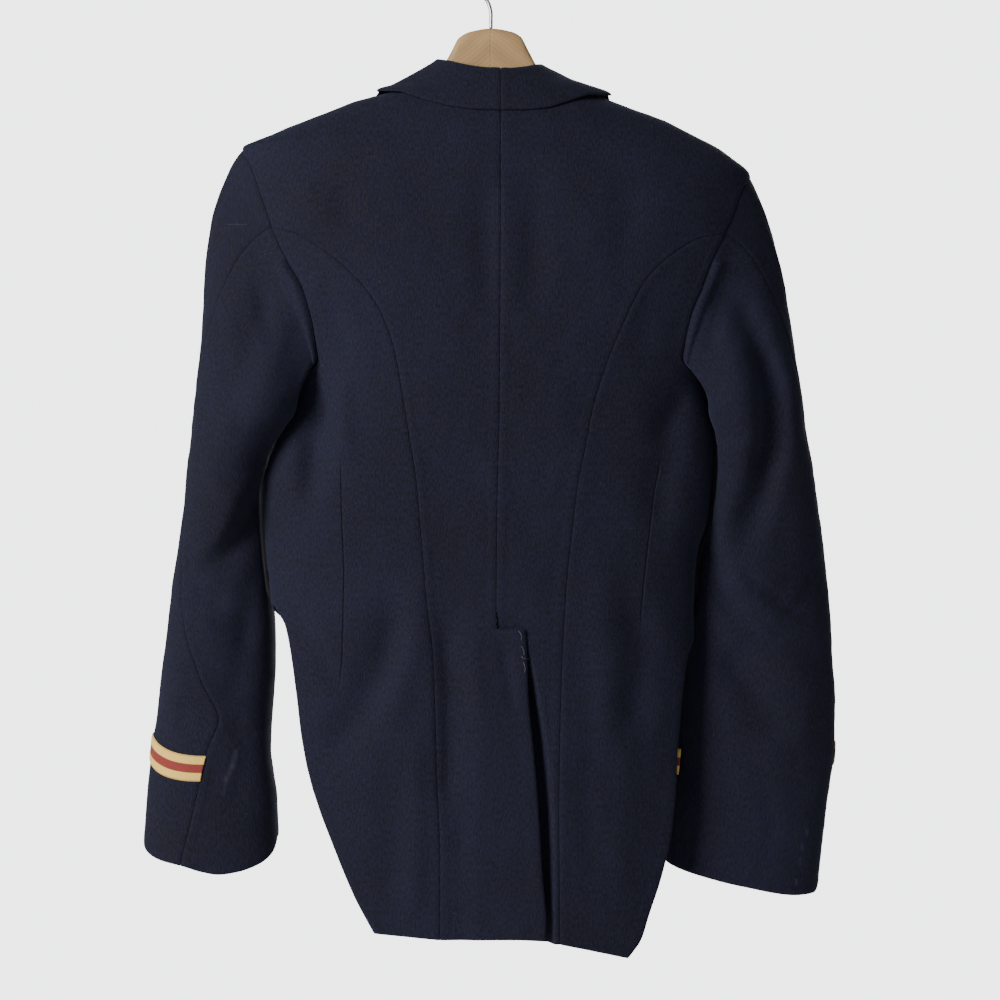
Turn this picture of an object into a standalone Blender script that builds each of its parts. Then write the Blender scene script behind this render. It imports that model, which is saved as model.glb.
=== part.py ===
"""Mess jacket on its wooden hanger, seen from the back, hung by the wire hook.

Millimetres inside, metres in the scene.  X to the right, +Y towards the wall,
drop = distance below the inside top of the hook (drop 0 is the origin).
"""
import math

import bpy
import numpy as np

MM = 0.001
WALL = 2.0
SEAM = 0.3
LIFT = 3.2
BRAID_WALL = 1.0
BRAID_WIDTH = 23.0
WIRE_RADIUS = 1.75
CLEAR_OF_TRUNK = 4.6
BELOW_WAIST = (590, 660)
# how far the under sleeve's columns are swung round towards the underarm
UNDERARM_SWING = 0.5
DOWN = np.array([0.0, 0.0, -1.0])
CAP_FULLNESS = {"left": 0.3, "right": 0.0}

# trunk rings: drop, left half width, right half width, back depth, front depth, squareness
TRUNK = [
    (92, 30, 20, 30, 26, 2.1),
    (112, 62, 45, 40, 32, 2.1),
    (130, 115, 92, 49, 38, 2.2),
    (137, 140, 108, 51, 41, 2.3),
    (155, 187, 156, 55, 45, 2.4),
    (167, 214, 180, 57, 47, 2.5),
    (178, 239, 200, 59, 49, 2.5),
    (188, 238, 214, 61, 50, 2.6),
    (204, 236, 231, 62, 51, 2.6),
    (255, 227, 225, 66, 55, 2.8),
    (310, 208, 207, 67, 58, 3.0),
    (355, 194, 195, 66, 60, 2.7),
    (378, 190, 193, 65, 60, 2.5),
    (396, 189, 192, 64, 60, 2.4),
    (420, 194, 195.5, 62, 59, 2.4),
    (446, 204, 201, 60, 59, 2.5),
    (468, 212, 200, 59, 58, 2.6),
    (489, 217, 199, 58, 57, 2.6),
    (524, 216, 195, 56, 55, 2.5),
    (551, 214, 187, 54, 54, 2.5),
    (578, 211, 184, 53, 53, 2.5),
    (614, 208, 184, 53, 52, 2.5),
    (700, 207, 187, 53, 52, 2.4),
    (930, 205, 190, 52, 52, 2.4),
]

# centre back seam: drop, x
CENTRE = [(92, 9), (152, 9), (414, 8), (504, 6), (619, 5), (930, 6)]

# where each row of the back starts at the centre and ends at the outer edge
ROWS = {
    "left": [
        (137, 115), (146, 128), (155, 140), (165, 153), (174, 166), (183, 178),
        (193, 191), (207, 206), (222, 222), (237, 239),
        (252, 255), (258, 259), (266, 265), (277, 276), (293, 293), (315, 316),
        (339, 339), (369, 369), (398, 398), (426, 426), (455, 455), (490, 490),
        (520, 520), (551, 551), (584, 584), (618, 618), (622, 622), (650, 650),
        (690, 690), (734, 734), (778, 778), (820, 820), (860, 860), (890, 890), (902, 903),
    ],
    "right": [
        (137, 115), (149, 131), (163, 149), (177, 167), (191, 186), (204, 204),
        (214, 215), (225, 226), (236, 238), (247, 250),
        (258, 261), (262, 263), (267, 268), (278, 278), (294, 295), (316, 318),
        (339, 342), (369, 372), (398, 400), (426, 428), (455, 456), (490, 490),
        (520, 520), (551, 551), (584, 584), (618, 618), (622, 622), (650, 650),
        (690, 690), (734, 734), (778, 778), (820, 820), (860, 862), (890, 893), (903, 907),
    ],
}
RIDGE_ROWS = 6
ARMHOLE_ROWS = 11

# drop, x
ARMHOLE = {
    "left": [
        (178, -230), (197, -221), (219, -213), (238, -206), (255, -200), (272, -193),
        (291, -183), (307, -173), (324, -167), (345, -162), (372, -158),
    ],
    "right": [
        (204, 239), (224, 229), (247, 221), (261, 214), (286, 202), (312, 192),
        (328, 185), (349, 179), (373, 175),
    ],
}
UNDERARM_DROP = 396
SHAPING_SEAM = {
    "left": [
        (255, -200), (263, -174), (276, -154), (293, -132), (317, -110), (339, -97),
        (369, -87), (407, -80), (438, -75), (490, -67), (538, -63), (596, -58),
        (650, -52), (747, -49), (830, -46), (930, -46),
    ],
    "right": [
        (261, 214), (265, 193), (277, 171), (295, 149), (312, 136), (351, 117),
        (387, 103), (423, 92), (450, 87), (490, 79), (523, 75), (581, 69),
        (651, 65), (711, 63), (787, 62), (930, 63),
    ],
}

# outer edge of the side back: rows after the shaping seam starts, drop and lateral or x
SIDE_DROPS = {
    "left": [
        256, 268, 281, 296, 315, 341, 373, 392, 396, 416, 446, 478, 512, 542, 572,
        597, 602, 625, 658, 700, 742, 784, 824, 866, 898,
    ],
    "right": [
        262, 273, 285, 299, 317, 342, 374, 392, 396, 416, 446, 478, 512, 542, 574,
        603, 609, 634, 668, 710, 750, 792, 834, 882, 921,
    ],
}
SIDE_UNDERARM_ROW = 8
SIDE_WAIST_ROW = 16
TAIL_EDGE = {
    "left": [
        (600, -201), (608, -196), (620, -189), (656, -182), (687, -178), (742, -170),
        (784, -158), (824, -142), (866, -124), (898, -106),
    ],
    "right": [
        (608, 190), (620, 190), (634, 188), (648, 182), (704, 175), (734, 172),
        (782, 169), (809, 166), (834, 160), (856, 154), (885, 144), (905, 137), (921, 125),
    ],
}
VENT_TOP = 620
VENT_LAP = [(620, 26), (622, 31), (685, 34), (736, 39), (786, 43), (838, 46), (889, 50), (930, 48)]
VENT_FOLD = [(620, 30), (647, 36), (698, 45), (736, 51), (787, 55.5), (839, 57), (930, 57)]

FRONT_EDGE = {
    "left": [
        (115, -54), (150, -52), (200, -49), (300, -41), (400, -33), (500, -26), (590, -22), (645, -34),
    ],
    "right": [
        (115, 54), (150, 58), (200, 58), (300, 52), (400, 45), (500, 38), (590, 34), (645, 46),
    ],
}
LAPEL_EDGE = {
    "left": [
        (128, -106), (150, -116), (200, -120), (260, -116), (330, -103), (400, -84),
        (480, -58), (560, -31), (590, -25),
    ],
    "right": [
        (133, 106), (150, 116), (200, 124), (260, 121), (330, 111), (400, 94),
        (480, 70), (560, 43), (590, 37),
    ],
}

# collar edge over the shoulder: share, ring position, drop
COLLAR_TURN = {
    "left": [(0.32, 0.50, 134), (0.355, 0.76, 131), (0.385, 1.0, 129), (0.42, 1.3, 134), (0.46, 1.53, 150)],
    "right": [(0.32, 0.58, 137), (0.355, 0.8, 135), (0.385, 1.0, 132.5), (0.42, 1.28, 137), (0.46, 1.5, 152)],
}

# collar from centre back round to the shoulder: share, roll x, roll drop, roll y, edge x, edge drop
COLLAR = {
    "left": [
        (0.00, 9, 110, -41, 9, 151), (0.08, -8, 108.5, -39, -10, 150.5),
        (0.16, -24, 105, -34, -32, 148), (0.24, -38, 100, -25, -57, 142),
        (0.32, -49, 96.5, -13, -82, 134),
    ],
    "right": [
        (0.00, 9, 110, -41, 9, 151), (0.08, 20, 109.5, -39, 28, 151),
        (0.16, 31, 107.5, -34, 50, 149), (0.24, 40, 104, -25, 72, 142),
        (0.32, 46, 101.5, -13, 89, 137),
    ],
}

# sleeve rings: drop, outer x, inner x, middle y, half depth
SLEEVE = {
    "left": [
        (380, -271, -154, -4, 47), (405, -274, -163, -4, 46), (428, -276, -177, -2, 45),
        (453, -279, -198, 3, 43), (470, -282, -205, 7, 42), (505, -286, -206, 12, 40),
        (551, -294, -205, 20, 38),
        (598, -301, -204, 25, 36), (645, -307, -202, 27, 35), (692, -312, -205, 28, 34),
        (739, -319, -207, 28, 33), (786, -324, -202, 28, 34), (850, -328, -199, 28, 36),
    ],
    "right": [
        (380, 284, 174, -4, 47), (399, 287, 183, -4, 46), (420, 290, 194, -2, 45),
        (440, 293, 202, 3, 44), (465, 298, 201, 10, 42), (505, 305, 196, 16, 40),
        (551, 313, 188, 23, 38),
        (598, 318, 184, 27, 36), (645, 321, 180, 28, 35), (692, 323, 171, 28, 34),
        (739, 323, 163, 28, 33), (786, 316, 157, 28, 33), (870, 307, 154, 28, 34),
    ],
}
# sleeve seams: share of length, hind seam angle, fore seam angle (0 outer, 90 back, 180 inner)
SLEEVE_SEAMS = {
    "left": [
        (0.0, 62, 262), (0.12, 45, 258), (0.2, 24, 255), (0.3, 8, 252), (0.4, 26, 250),
        (0.54, 40, 248), (0.62, 53, 247), (0.7, 76, 246), (0.762, 98, 246),
        (0.8, 91, 246), (0.9, 79, 245), (1.0, 68, 245),
    ],
    "right": [
        (0.0, 62, 262), (0.12, 44, 255), (0.2, 28, 245), (0.3, 14, 235), (0.4, 8, 222),
        (0.54, 4, 196), (0.65, 2, 168), (0.78, 0, 143), (0.9, 0, 140), (1.0, 0, 140),
    ],
}
# cuff edge round the sleeve: angle, drop
CUFF_EDGE = {
    "left": [
        (0, 825), (22, 831), (50, 839), (69, 843), (86, 848.5), (100, 851), (115, 849), (132, 844),
        (156, 834), (180, 821), (270, 829), (360, 825),
    ],
    "right": [
        (0, 862), (25, 871), (45, 871.5), (90, 862), (120, 852), (145, 843), (165, 835), (180, 830),
        (270, 842), (360, 862),
    ],
}
BRAID_DROP = {"left": (734.5, 754, 741, 738), "right": (742, 750, 746, 741)}

# elbow folds: the upper sleeve stands over the forearm along these lines, x and drop
ELBOW_FOLD = {
    "left": [
        (-157, 378), (-170, 415), (-183, 433), (-206, 461), (-216, 486), (-241, 530), (-275, 573),
    ],
    "right": [
        (176, 378), (190, 410), (212, 458), (212, 480), (210, 506), (212, 541), (222, 579),
        (240, 602), (262, 624), (285, 634),
    ],
}
ELBOW_STAND = {"left": 15.0, "right": 14.0}

# soft folds on the trunk: points (x, drop), half width, depth (positive sinks in)
TRUNK_FOLDS = [
    ([(-158, 385), (-162, 412), (-165, 445), (-160, 490)], 18, 8),
    ([(-148, 385), (-142, 430), (-138, 480)], 12, -3),
    ([(176, 388), (163, 440), (154, 500), (150, 540)], 15, 7),
    ([(-80, 585), (-97, 655), (-120, 700), (-155, 745)], 17, 7),
    ([(-66, 560), (-74, 640), (-100, 720)], 14, -3),
    ([(-42, 600), (-38, 680), (-38, 790)], 11, 5),
    ([(128, 590), (138, 645), (130, 720)], 16, 6),
    ([(98, 560), (108, 650), (100, 740)], 16, -3),
    ([(-6, 205), (-4, 280), (-2, 340)], 13, 2.5),
    ([(38, 200), (40, 290), (36, 350)], 14, 2.5),
    ([(120, 215), (124, 290)], 14, 2),
    ([(-136, 215), (-128, 262)], 13, 2),
]
# soft folds on the back of the sleeves
SLEEVE_FOLDS = {
    "left": [
        ([(-225, 600), (-232, 660), (-240, 700)], 16, 4),
        ([(-300, 640), (-290, 700)], 14, -3),
        ([(-245, 300), (-240, 380), (-225, 430)], 18, 4),
    ],
    "right": [
        ([(232, 318), (246, 360), (256, 410), (257, 450), (250, 490), (240, 520), (226, 561)], 16, 13),
        ([(219, 628), (246, 687), (278, 736)], 18, 6),
        ([(290, 640), (262, 760)], 26, -4),
    ],
}

HANGER = [
    (-214, 186, 206, 8), (-211, 180, 208, 13), (-190, 168.5, 203, 15), (-150, 152.5, 189, 14),
    (-110, 137, 174, 11), (-80, 127, 160, 9), (-58, 117, 148, 8), (-48, 108, 142, 8),
    (-42, 97, 138, 8), (-36, 86, 134, 8), (-30, 75, 131, 8), (-19, 69, 127, 8),
    (0, 66, 124, 8), (19, 69, 127, 8), (28, 74, 131, 8), (34, 85, 134, 8), (42, 100, 140, 8),
    (49, 111, 146, 8), (60, 119.5, 154, 8), (84, 130, 166, 9), (120, 145, 182, 11),
    (160, 161, 199, 14), (200, 180, 216, 15), (221, 197, 222, 13), (224, 203, 219, 8),
]
HOOK = [
    (0, 65.85), (0, 58), (0, 51), (-3.5, 40), (-11, 32.5), (-18, 25), (-20.5, 16),
    (-17, 6), (-9, 0), (0, -1.75), (9, 0), (17, 6.5), (20.5, 16), (19, 25), (14.5, 31),
]


def smooth_curve(table, value, column=1):
    """Read one column of a table as a smooth curve of its first column."""
    rows = np.array([[float(v) for v in row] for row in table])
    a, b = rows[:, 0], rows[:, column]
    step = np.diff(a)
    slope = np.diff(b) / step
    grad = np.empty(len(a))
    grad[0], grad[-1] = slope[0], slope[-1]
    left, right = slope[:-1], slope[1:]
    same = left * right > 0
    joined = np.where(same, 2 * left * right / np.where(same, left + right, 1.0), 0.0)
    grad[1:-1] = joined
    value = np.clip(np.asarray(value, float), a[0], a[-1])
    i = np.clip(np.searchsorted(a, value, side="right") - 1, 0, len(a) - 2)
    t = (value - a[i]) / step[i]
    h00 = 2 * t**3 - 3 * t**2 + 1
    h10 = t**3 - 2 * t**2 + t
    h01 = -2 * t**3 + 3 * t**2
    h11 = t**3 - t**2
    return h00 * b[i] + h10 * step[i] * grad[i] + h01 * b[i + 1] + h11 * step[i] * grad[i + 1]


def ease(a, b, value):
    t = np.clip((np.asarray(value, float) - a) / (b - a), 0.0, 1.0)
    return t * t * (3 - 2 * t)


def line_distance(x, drop, points):
    """Distance to a bent line, its side (positive below or right of it) and the share along it."""
    x, drop = np.broadcast_arrays(np.asarray(x, float), np.asarray(drop, float))
    best = np.full(x.shape, 1e9)
    signed = np.zeros(x.shape)
    share = np.zeros(x.shape)
    p = np.array(points, float)
    lengths = np.hypot(*np.diff(p, axis=0).T)
    total = lengths.sum()
    run = 0.0
    for a, b, length in zip(p[:-1], p[1:], lengths):
        dx, dz = (b - a) / length
        along = (x - a[0]) * dx + (drop - a[1]) * dz
        near = np.clip(along, 0, length)
        px, pz = a[0] + near * dx, a[1] + near * dz
        d = np.hypot(x - px, drop - pz)
        cross = dx * (drop - a[1]) - dz * (x - a[0])
        closer = d < best - 1e-9
        best = np.where(closer, d, best)
        signed = np.where(closer, np.where(cross >= 0, d, -d), signed)
        share = np.where(closer, (run + near) / total, share)
        run += length
    return best, signed, share


def fold_sum(x, drop, folds):
    total = np.zeros(np.broadcast(x, drop).shape)
    for points, half_width, depth in folds:
        d, _, share = line_distance(x, drop, points)
        fade = ease(0.0, 0.22, share) * ease(0.0, 0.22, 1.0 - share)
        total = total + depth * np.exp(-(d / half_width) ** 2) * (0.15 + 0.85 * fade)
    return total


def lateral(x, drop, side):
    """Turn an x on the back into the ring position (0 centre back, 1 side, 2 centre front)."""
    half = smooth_curve(TRUNK, drop, 1 if side == "left" else 2)
    n = smooth_curve(TRUNK, drop, 5)
    s = np.clip(np.abs(x - smooth_curve(CENTRE, drop)) / half, 0.0, 1.0)
    c = (1 - s**n) ** (1 / n)
    return np.arctan2(s, c) / (math.pi / 2)


def trunk_point(q, drop, side, folds=True):
    q, drop = np.broadcast_arrays(np.asarray(q, float), np.asarray(drop, float))
    sign = -1.0 if side == "left" else 1.0
    half = smooth_curve(TRUNK, drop, 1 if side == "left" else 2)
    back = smooth_curve(TRUNK, drop, 3)
    front = smooth_curve(TRUNK, drop, 4)
    n = smooth_curve(TRUNK, drop, 5)
    angle = q * math.pi / 2
    s, c = np.abs(np.sin(angle)), np.cos(angle)
    r = 1.0 / (s**n + np.abs(c) ** n) ** (1 / n)
    x = smooth_curve(CENTRE, drop) + sign * half * r * s * np.where(q < 0, -1.0, 1.0)
    y = -np.where(c > 0, back, front) * r * c
    if folds:
        y = y + fold_sum(x, drop, TRUNK_FOLDS) * np.clip(c, 0, 1) ** 0.5 * np.where(c > 0, 1.0, 0.0)
    return np.stack([x, y, -drop], axis=-1)


def trunk_normal(q, drop, side):
    sign = -1.0 if side == "left" else 1.0
    dq = trunk_point(q + 0.004, drop, side) - trunk_point(q - 0.004, drop, side)
    dh = trunk_point(q, drop + 0.8, side) - trunk_point(q, drop - 0.8, side)
    n = np.cross(dq, dh) * -sign
    return n / np.linalg.norm(n, axis=-1, keepdims=True)


def armhole_lateral(drop, side):
    """Ring position of the armhole edge on the back; the front edge mirrors it about the side."""
    last = ARMHOLE[side][-1][0]
    on_table = lateral(smooth_curve(ARMHOLE[side], np.minimum(drop, last)), np.minimum(drop, last), side)
    low = lateral(ARMHOLE[side][-1][1], last, side)
    t = np.clip((np.asarray(drop, float) - last) / (UNDERARM_DROP - last), 0.0, 1.0)
    return np.where(drop <= last, on_table, low + (1 - low) * (1 - np.sqrt(1 - t * t)))


def vent_shift(x, drop, side):
    """How far the vent lap is lifted (left) or its underlap is sunk (right)."""
    below = ease(VENT_TOP - 22, VENT_TOP - 4, drop)
    if side == "left":
        return -(WALL + 0.7) * ease(-36, -15, x - smooth_curve(CENTRE, drop)) * below
    fold = smooth_curve(VENT_FOLD, drop)
    deep = 0.5 + 10.5 * ease(VENT_TOP, VENT_TOP + 70, drop)
    return deep * ease(2, -6, x - fold) * ease(VENT_TOP - 4, VENT_TOP + 4, drop)


def shifted(points, drop, side):
    out = points.copy()
    out[..., 1] += vent_shift(points[..., 0], drop, side)
    return out


def close_wall(outer, normal, wall, trim=(SEAM / 2,) * 4):
    """Two skins and four rims: outer grid, unit normals, wall thickness, edges trimmed for seams.

    trim order: first row, last row, first column, last column.
    """
    p = outer.copy()
    first, last, left, right = trim

    def pull(edge, inner, amount):
        gap = inner - edge
        length = np.linalg.norm(gap, axis=-1, keepdims=True)
        return edge + gap / np.maximum(length, 1e-6) * np.minimum(amount, 0.45 * length)

    p[0] = pull(p[0], p[1], first)
    p[-1] = pull(p[-1], p[-2], last)
    p[:, 0] = pull(p[:, 0], p[:, 1], left)
    p[:, -1] = pull(p[:, -1], p[:, -2], right)
    inner = p - normal * wall
    rows, cols = p.shape[:2]
    verts = np.concatenate([p.reshape(-1, 3), inner.reshape(-1, 3)])
    count = rows * cols

    def at(i, j, skin):
        return skin * count + i * cols + j

    faces = []
    for i in range(rows - 1):
        for j in range(cols - 1):
            a, b, c, d = (i, j), (i + 1, j), (i + 1, j + 1), (i, j + 1)
            faces.append([at(*a, 0), at(*b, 0), at(*c, 0), at(*d, 0)])
            faces.append([at(*a, 1), at(*d, 1), at(*c, 1), at(*b, 1)])
    for i in range(rows - 1):
        faces.append([at(i, 0, 0), at(i, 0, 1), at(i + 1, 0, 1), at(i + 1, 0, 0)])
        faces.append([at(i + 1, cols - 1, 0), at(i + 1, cols - 1, 1), at(i, cols - 1, 1), at(i, cols - 1, 0)])
    for j in range(cols - 1):
        faces.append([at(0, j + 1, 0), at(0, j + 1, 1), at(0, j, 1), at(0, j, 0)])
        faces.append([at(rows - 1, j, 0), at(rows - 1, j, 1), at(rows - 1, j + 1, 1), at(rows - 1, j + 1, 0)])
    return verts, faces


def facing_out(verts, faces):
    """Turn the faces over when the closed body has a negative volume."""
    total = 0.0
    for face in faces:
        a = verts[face[0]]
        for k in range(1, len(face) - 1):
            total += float(np.dot(a, np.cross(verts[face[k]], verts[face[k + 1]])))
    return faces if total > 0 else [list(reversed(f)) for f in faces]


def add_object(name, verts, faces, material):
    faces = facing_out(verts, faces)
    mesh = bpy.data.meshes.new(name)
    mesh.from_pydata([tuple(float(c) * MM for c in v) for v in verts], [], faces)
    mesh.materials.append(material)
    mesh.update()
    body = bpy.data.objects.new(name, mesh)
    bpy.context.scene.collection.objects.link(body)
    return body


def make_material(name, colour, roughness, metallic=0.0):
    material = bpy.data.materials.new(name)
    material.use_nodes = True
    shader = material.node_tree.nodes["Principled BSDF"]
    shader.inputs["Base Color"].default_value = (*colour, 1.0)
    shader.inputs["Roughness"].default_value = roughness
    shader.inputs["Metallic"].default_value = metallic
    return material


def spread(a, b, count):
    """Ring positions or drops shared evenly between two edge columns."""
    t = np.linspace(0.0, 1.0, count)
    return a[:, None] * (1 - t) + b[:, None] * t


def back_outer_edge(side):
    """Ring position and drop of the outer edge of the centre back, one per row."""
    rows = np.array(ROWS[side], float)
    drop = rows[:, 1]
    q = np.empty(len(drop))
    q[:RIDGE_ROWS] = 1.0
    arm = slice(RIDGE_ROWS, ARMHOLE_ROWS)
    q[arm] = armhole_lateral(drop[arm], side)
    seam = slice(ARMHOLE_ROWS, None)
    q[seam] = lateral(smooth_curve(SHAPING_SEAM[side], drop[seam]), drop[seam], side)
    return q, drop


def centre_back(side):
    rows = np.array(ROWS[side], float)
    q_out, drop_out = back_outer_edge(side)
    drop_in = rows[:, 0]
    x_centre = smooth_curve(CENTRE, drop_in)
    below = drop_in > VENT_TOP
    if side == "left":
        reach = np.where(below, smooth_curve(VENT_LAP, drop_in) - x_centre, 0.0)
        q_in = -lateral(x_centre + reach, drop_in, "right")
    else:
        reach = np.where(below, 14.0, 0.0)
        q_in = -lateral(x_centre - reach, drop_in, "left")
    q = spread(q_in, q_out, 9)
    drop = spread(drop_in, drop_out, 9)
    other_side = {"left": "right", "right": "left"}[side]
    points = np.where((q < 0)[..., None], trunk_point(-q, drop, other_side), trunk_point(q, drop, side))
    points = shifted(points, drop, side)
    return points, trunk_normal(np.maximum(q, 0.0), drop, side)


def side_outer_edge(side):
    drop = np.array(SIDE_DROPS[side], float)
    q = np.ones(len(drop))
    arm = slice(0, SIDE_UNDERARM_ROW + 1)
    q[arm] = armhole_lateral(drop[arm], side)
    tail = slice(SIDE_WAIST_ROW, None)
    q[tail] = lateral(smooth_curve(TAIL_EDGE[side], drop[tail]), drop[tail], side)
    return q, drop


def side_back(side):
    q_in, drop_in = back_outer_edge(side)
    start = ARMHOLE_ROWS - 1
    q_in, drop_in = q_in[start:], drop_in[start:]
    q_out, drop_out = side_outer_edge(side)
    q = spread(q_in, q_out, 10)
    drop = spread(drop_in, drop_out, 10)
    points = trunk_point(q, drop, side)
    return points, trunk_normal(q, drop, side)


def front_panel(side):
    """Front from the shoulder down to the waist, between the side seam and the open front edge."""
    ridge = np.array(ROWS[side], float)[:RIDGE_ROWS, 1]
    armhole = armhole_stations(side)
    side_rows = np.array(SIDE_DROPS[side], float)[SIDE_UNDERARM_ROW + 1:SIDE_WAIST_ROW + 1]
    drop_out = np.concatenate([ridge, armhole[1:], side_rows])
    q_out = np.concatenate([
        np.ones(RIDGE_ROWS), 2.0 - armhole_lateral(armhole[1:], side), np.ones(len(side_rows)),
    ])
    share = (drop_out - drop_out[0]) / (drop_out[-1] - drop_out[0])
    drop_in = 116 + (648 - 116) * share
    edge = smooth_curve(FRONT_EDGE[side], drop_in)
    q_in = 2.0 - lateral(edge, drop_in, side)
    q_in[0] = max(q_in[0], 1.12)
    q = spread(q_in, q_out, 10)
    drop = spread(drop_in, drop_out, 10)
    points = trunk_point(q, drop, side)
    return points, trunk_normal(q, drop, side)


def armhole_stations(side):
    """Drops of the armhole corners from the shoulder tip to the underarm."""
    rows = np.array(ROWS[side], float)
    upper = rows[RIDGE_ROWS - 1:ARMHOLE_ROWS, 1]
    lower = np.array(SIDE_DROPS[side], float)[1:SIDE_UNDERARM_ROW + 1]
    return np.concatenate([upper, lower])


def armhole_ring(side):
    """Points round the armhole: shoulder tip, down the back, underarm, up the front."""
    down = armhole_stations(side)
    q_down = armhole_lateral(down, side)
    q_down[0] = 1.0
    q_down[-1] = 1.0
    up = down[::-1][1:-1]
    q_up = 2.0 - armhole_lateral(up, side)
    drop = np.concatenate([down, up])
    q = np.concatenate([q_down, q_up])
    points = trunk_point(q, drop, side)
    return points, trunk_normal(q, drop, side), q, drop


def trunk_outside(p, side):
    """Distance outside the smooth trunk (negative inside) and the way out, for points."""
    def level(x, y, drop):
        half = smooth_curve(TRUNK, drop, 1 if side == "left" else 2)
        depth = np.where(y < 0, smooth_curve(TRUNK, drop, 3), smooth_curve(TRUNK, drop, 4))
        n = smooth_curve(TRUNK, drop, 5)
        sx = np.abs(x - smooth_curve(CENTRE, drop)) / half
        return (sx**n + (np.abs(y) / depth) ** n) ** (1 / n) - 1.0

    x, y, drop = p[..., 0], p[..., 1], -p[..., 2]
    e = 0.5
    gx = (level(x + e, y, drop) - level(x - e, y, drop)) / (2 * e)
    gy = (level(x, y + e, drop) - level(x, y - e, drop)) / (2 * e)
    gz = -(level(x, y, drop + e) - level(x, y, drop - e)) / (2 * e)
    grad = np.stack([gx, gy, gz], axis=-1)
    size = np.maximum(np.linalg.norm(grad, axis=-1), 1e-6)
    return level(x, y, drop) / size, grad / size[..., None]


def clear_of_trunk(p, side, gap):
    """Push points out until they stand at least this far off the smooth trunk."""
    p = p.copy()
    for _ in range(4):
        distance, way = trunk_outside(p, side)
        p = p + way * np.clip(gap - distance, 0.0, 12.0)[..., None]
    return p


def sleeve_section(psi, drop, side):
    sign = -1.0 if side == "left" else 1.0
    outer = smooth_curve(SLEEVE[side], drop, 1)
    inner = smooth_curve(SLEEVE[side], drop, 2)
    middle = smooth_curve(SLEEVE[side], drop, 3)
    depth = smooth_curve(SLEEVE[side], drop, 4)
    n = 2.35
    s, c = np.sin(psi), np.cos(psi)
    r = 1.0 / (np.abs(s) ** n + np.abs(c) ** n) ** (1 / n)
    x = (outer + inner) / 2 + sign * np.abs(outer - inner) / 2 * r * c
    y = middle - depth * r * s
    return x, y


def sleeve_shape(psi, drop, side):
    """Section point with the elbow fold, the soft folds and the trunk kept clear."""
    x, y = sleeve_section(psi, drop, side)
    facing = np.clip(np.sin(psi), 0, 1) ** 0.6
    distance, signed, share = line_distance(x, drop, ELBOW_FOLD[side])
    above = signed if side == "left" else -signed
    depth = ELBOW_STAND[side]
    fade = ease(0.02, 0.2, share) * (1 - ease(0.72, 1.0, share))
    stand = np.where(above > 0, -depth * np.exp(-(distance / 62.0) ** 2), 0.0)
    under = np.where(above <= 0, -depth * (1 - ease(0, 13, distance)), 0.0)
    under = under + np.where(above <= 0, 5.0 * np.exp(-((distance - 16) / 12.0) ** 2), 0.0)
    y = y + (stand + under) * facing * fade
    y = y + fold_sum(x, drop, SLEEVE_FOLDS[side]) * facing
    return x, y


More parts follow.
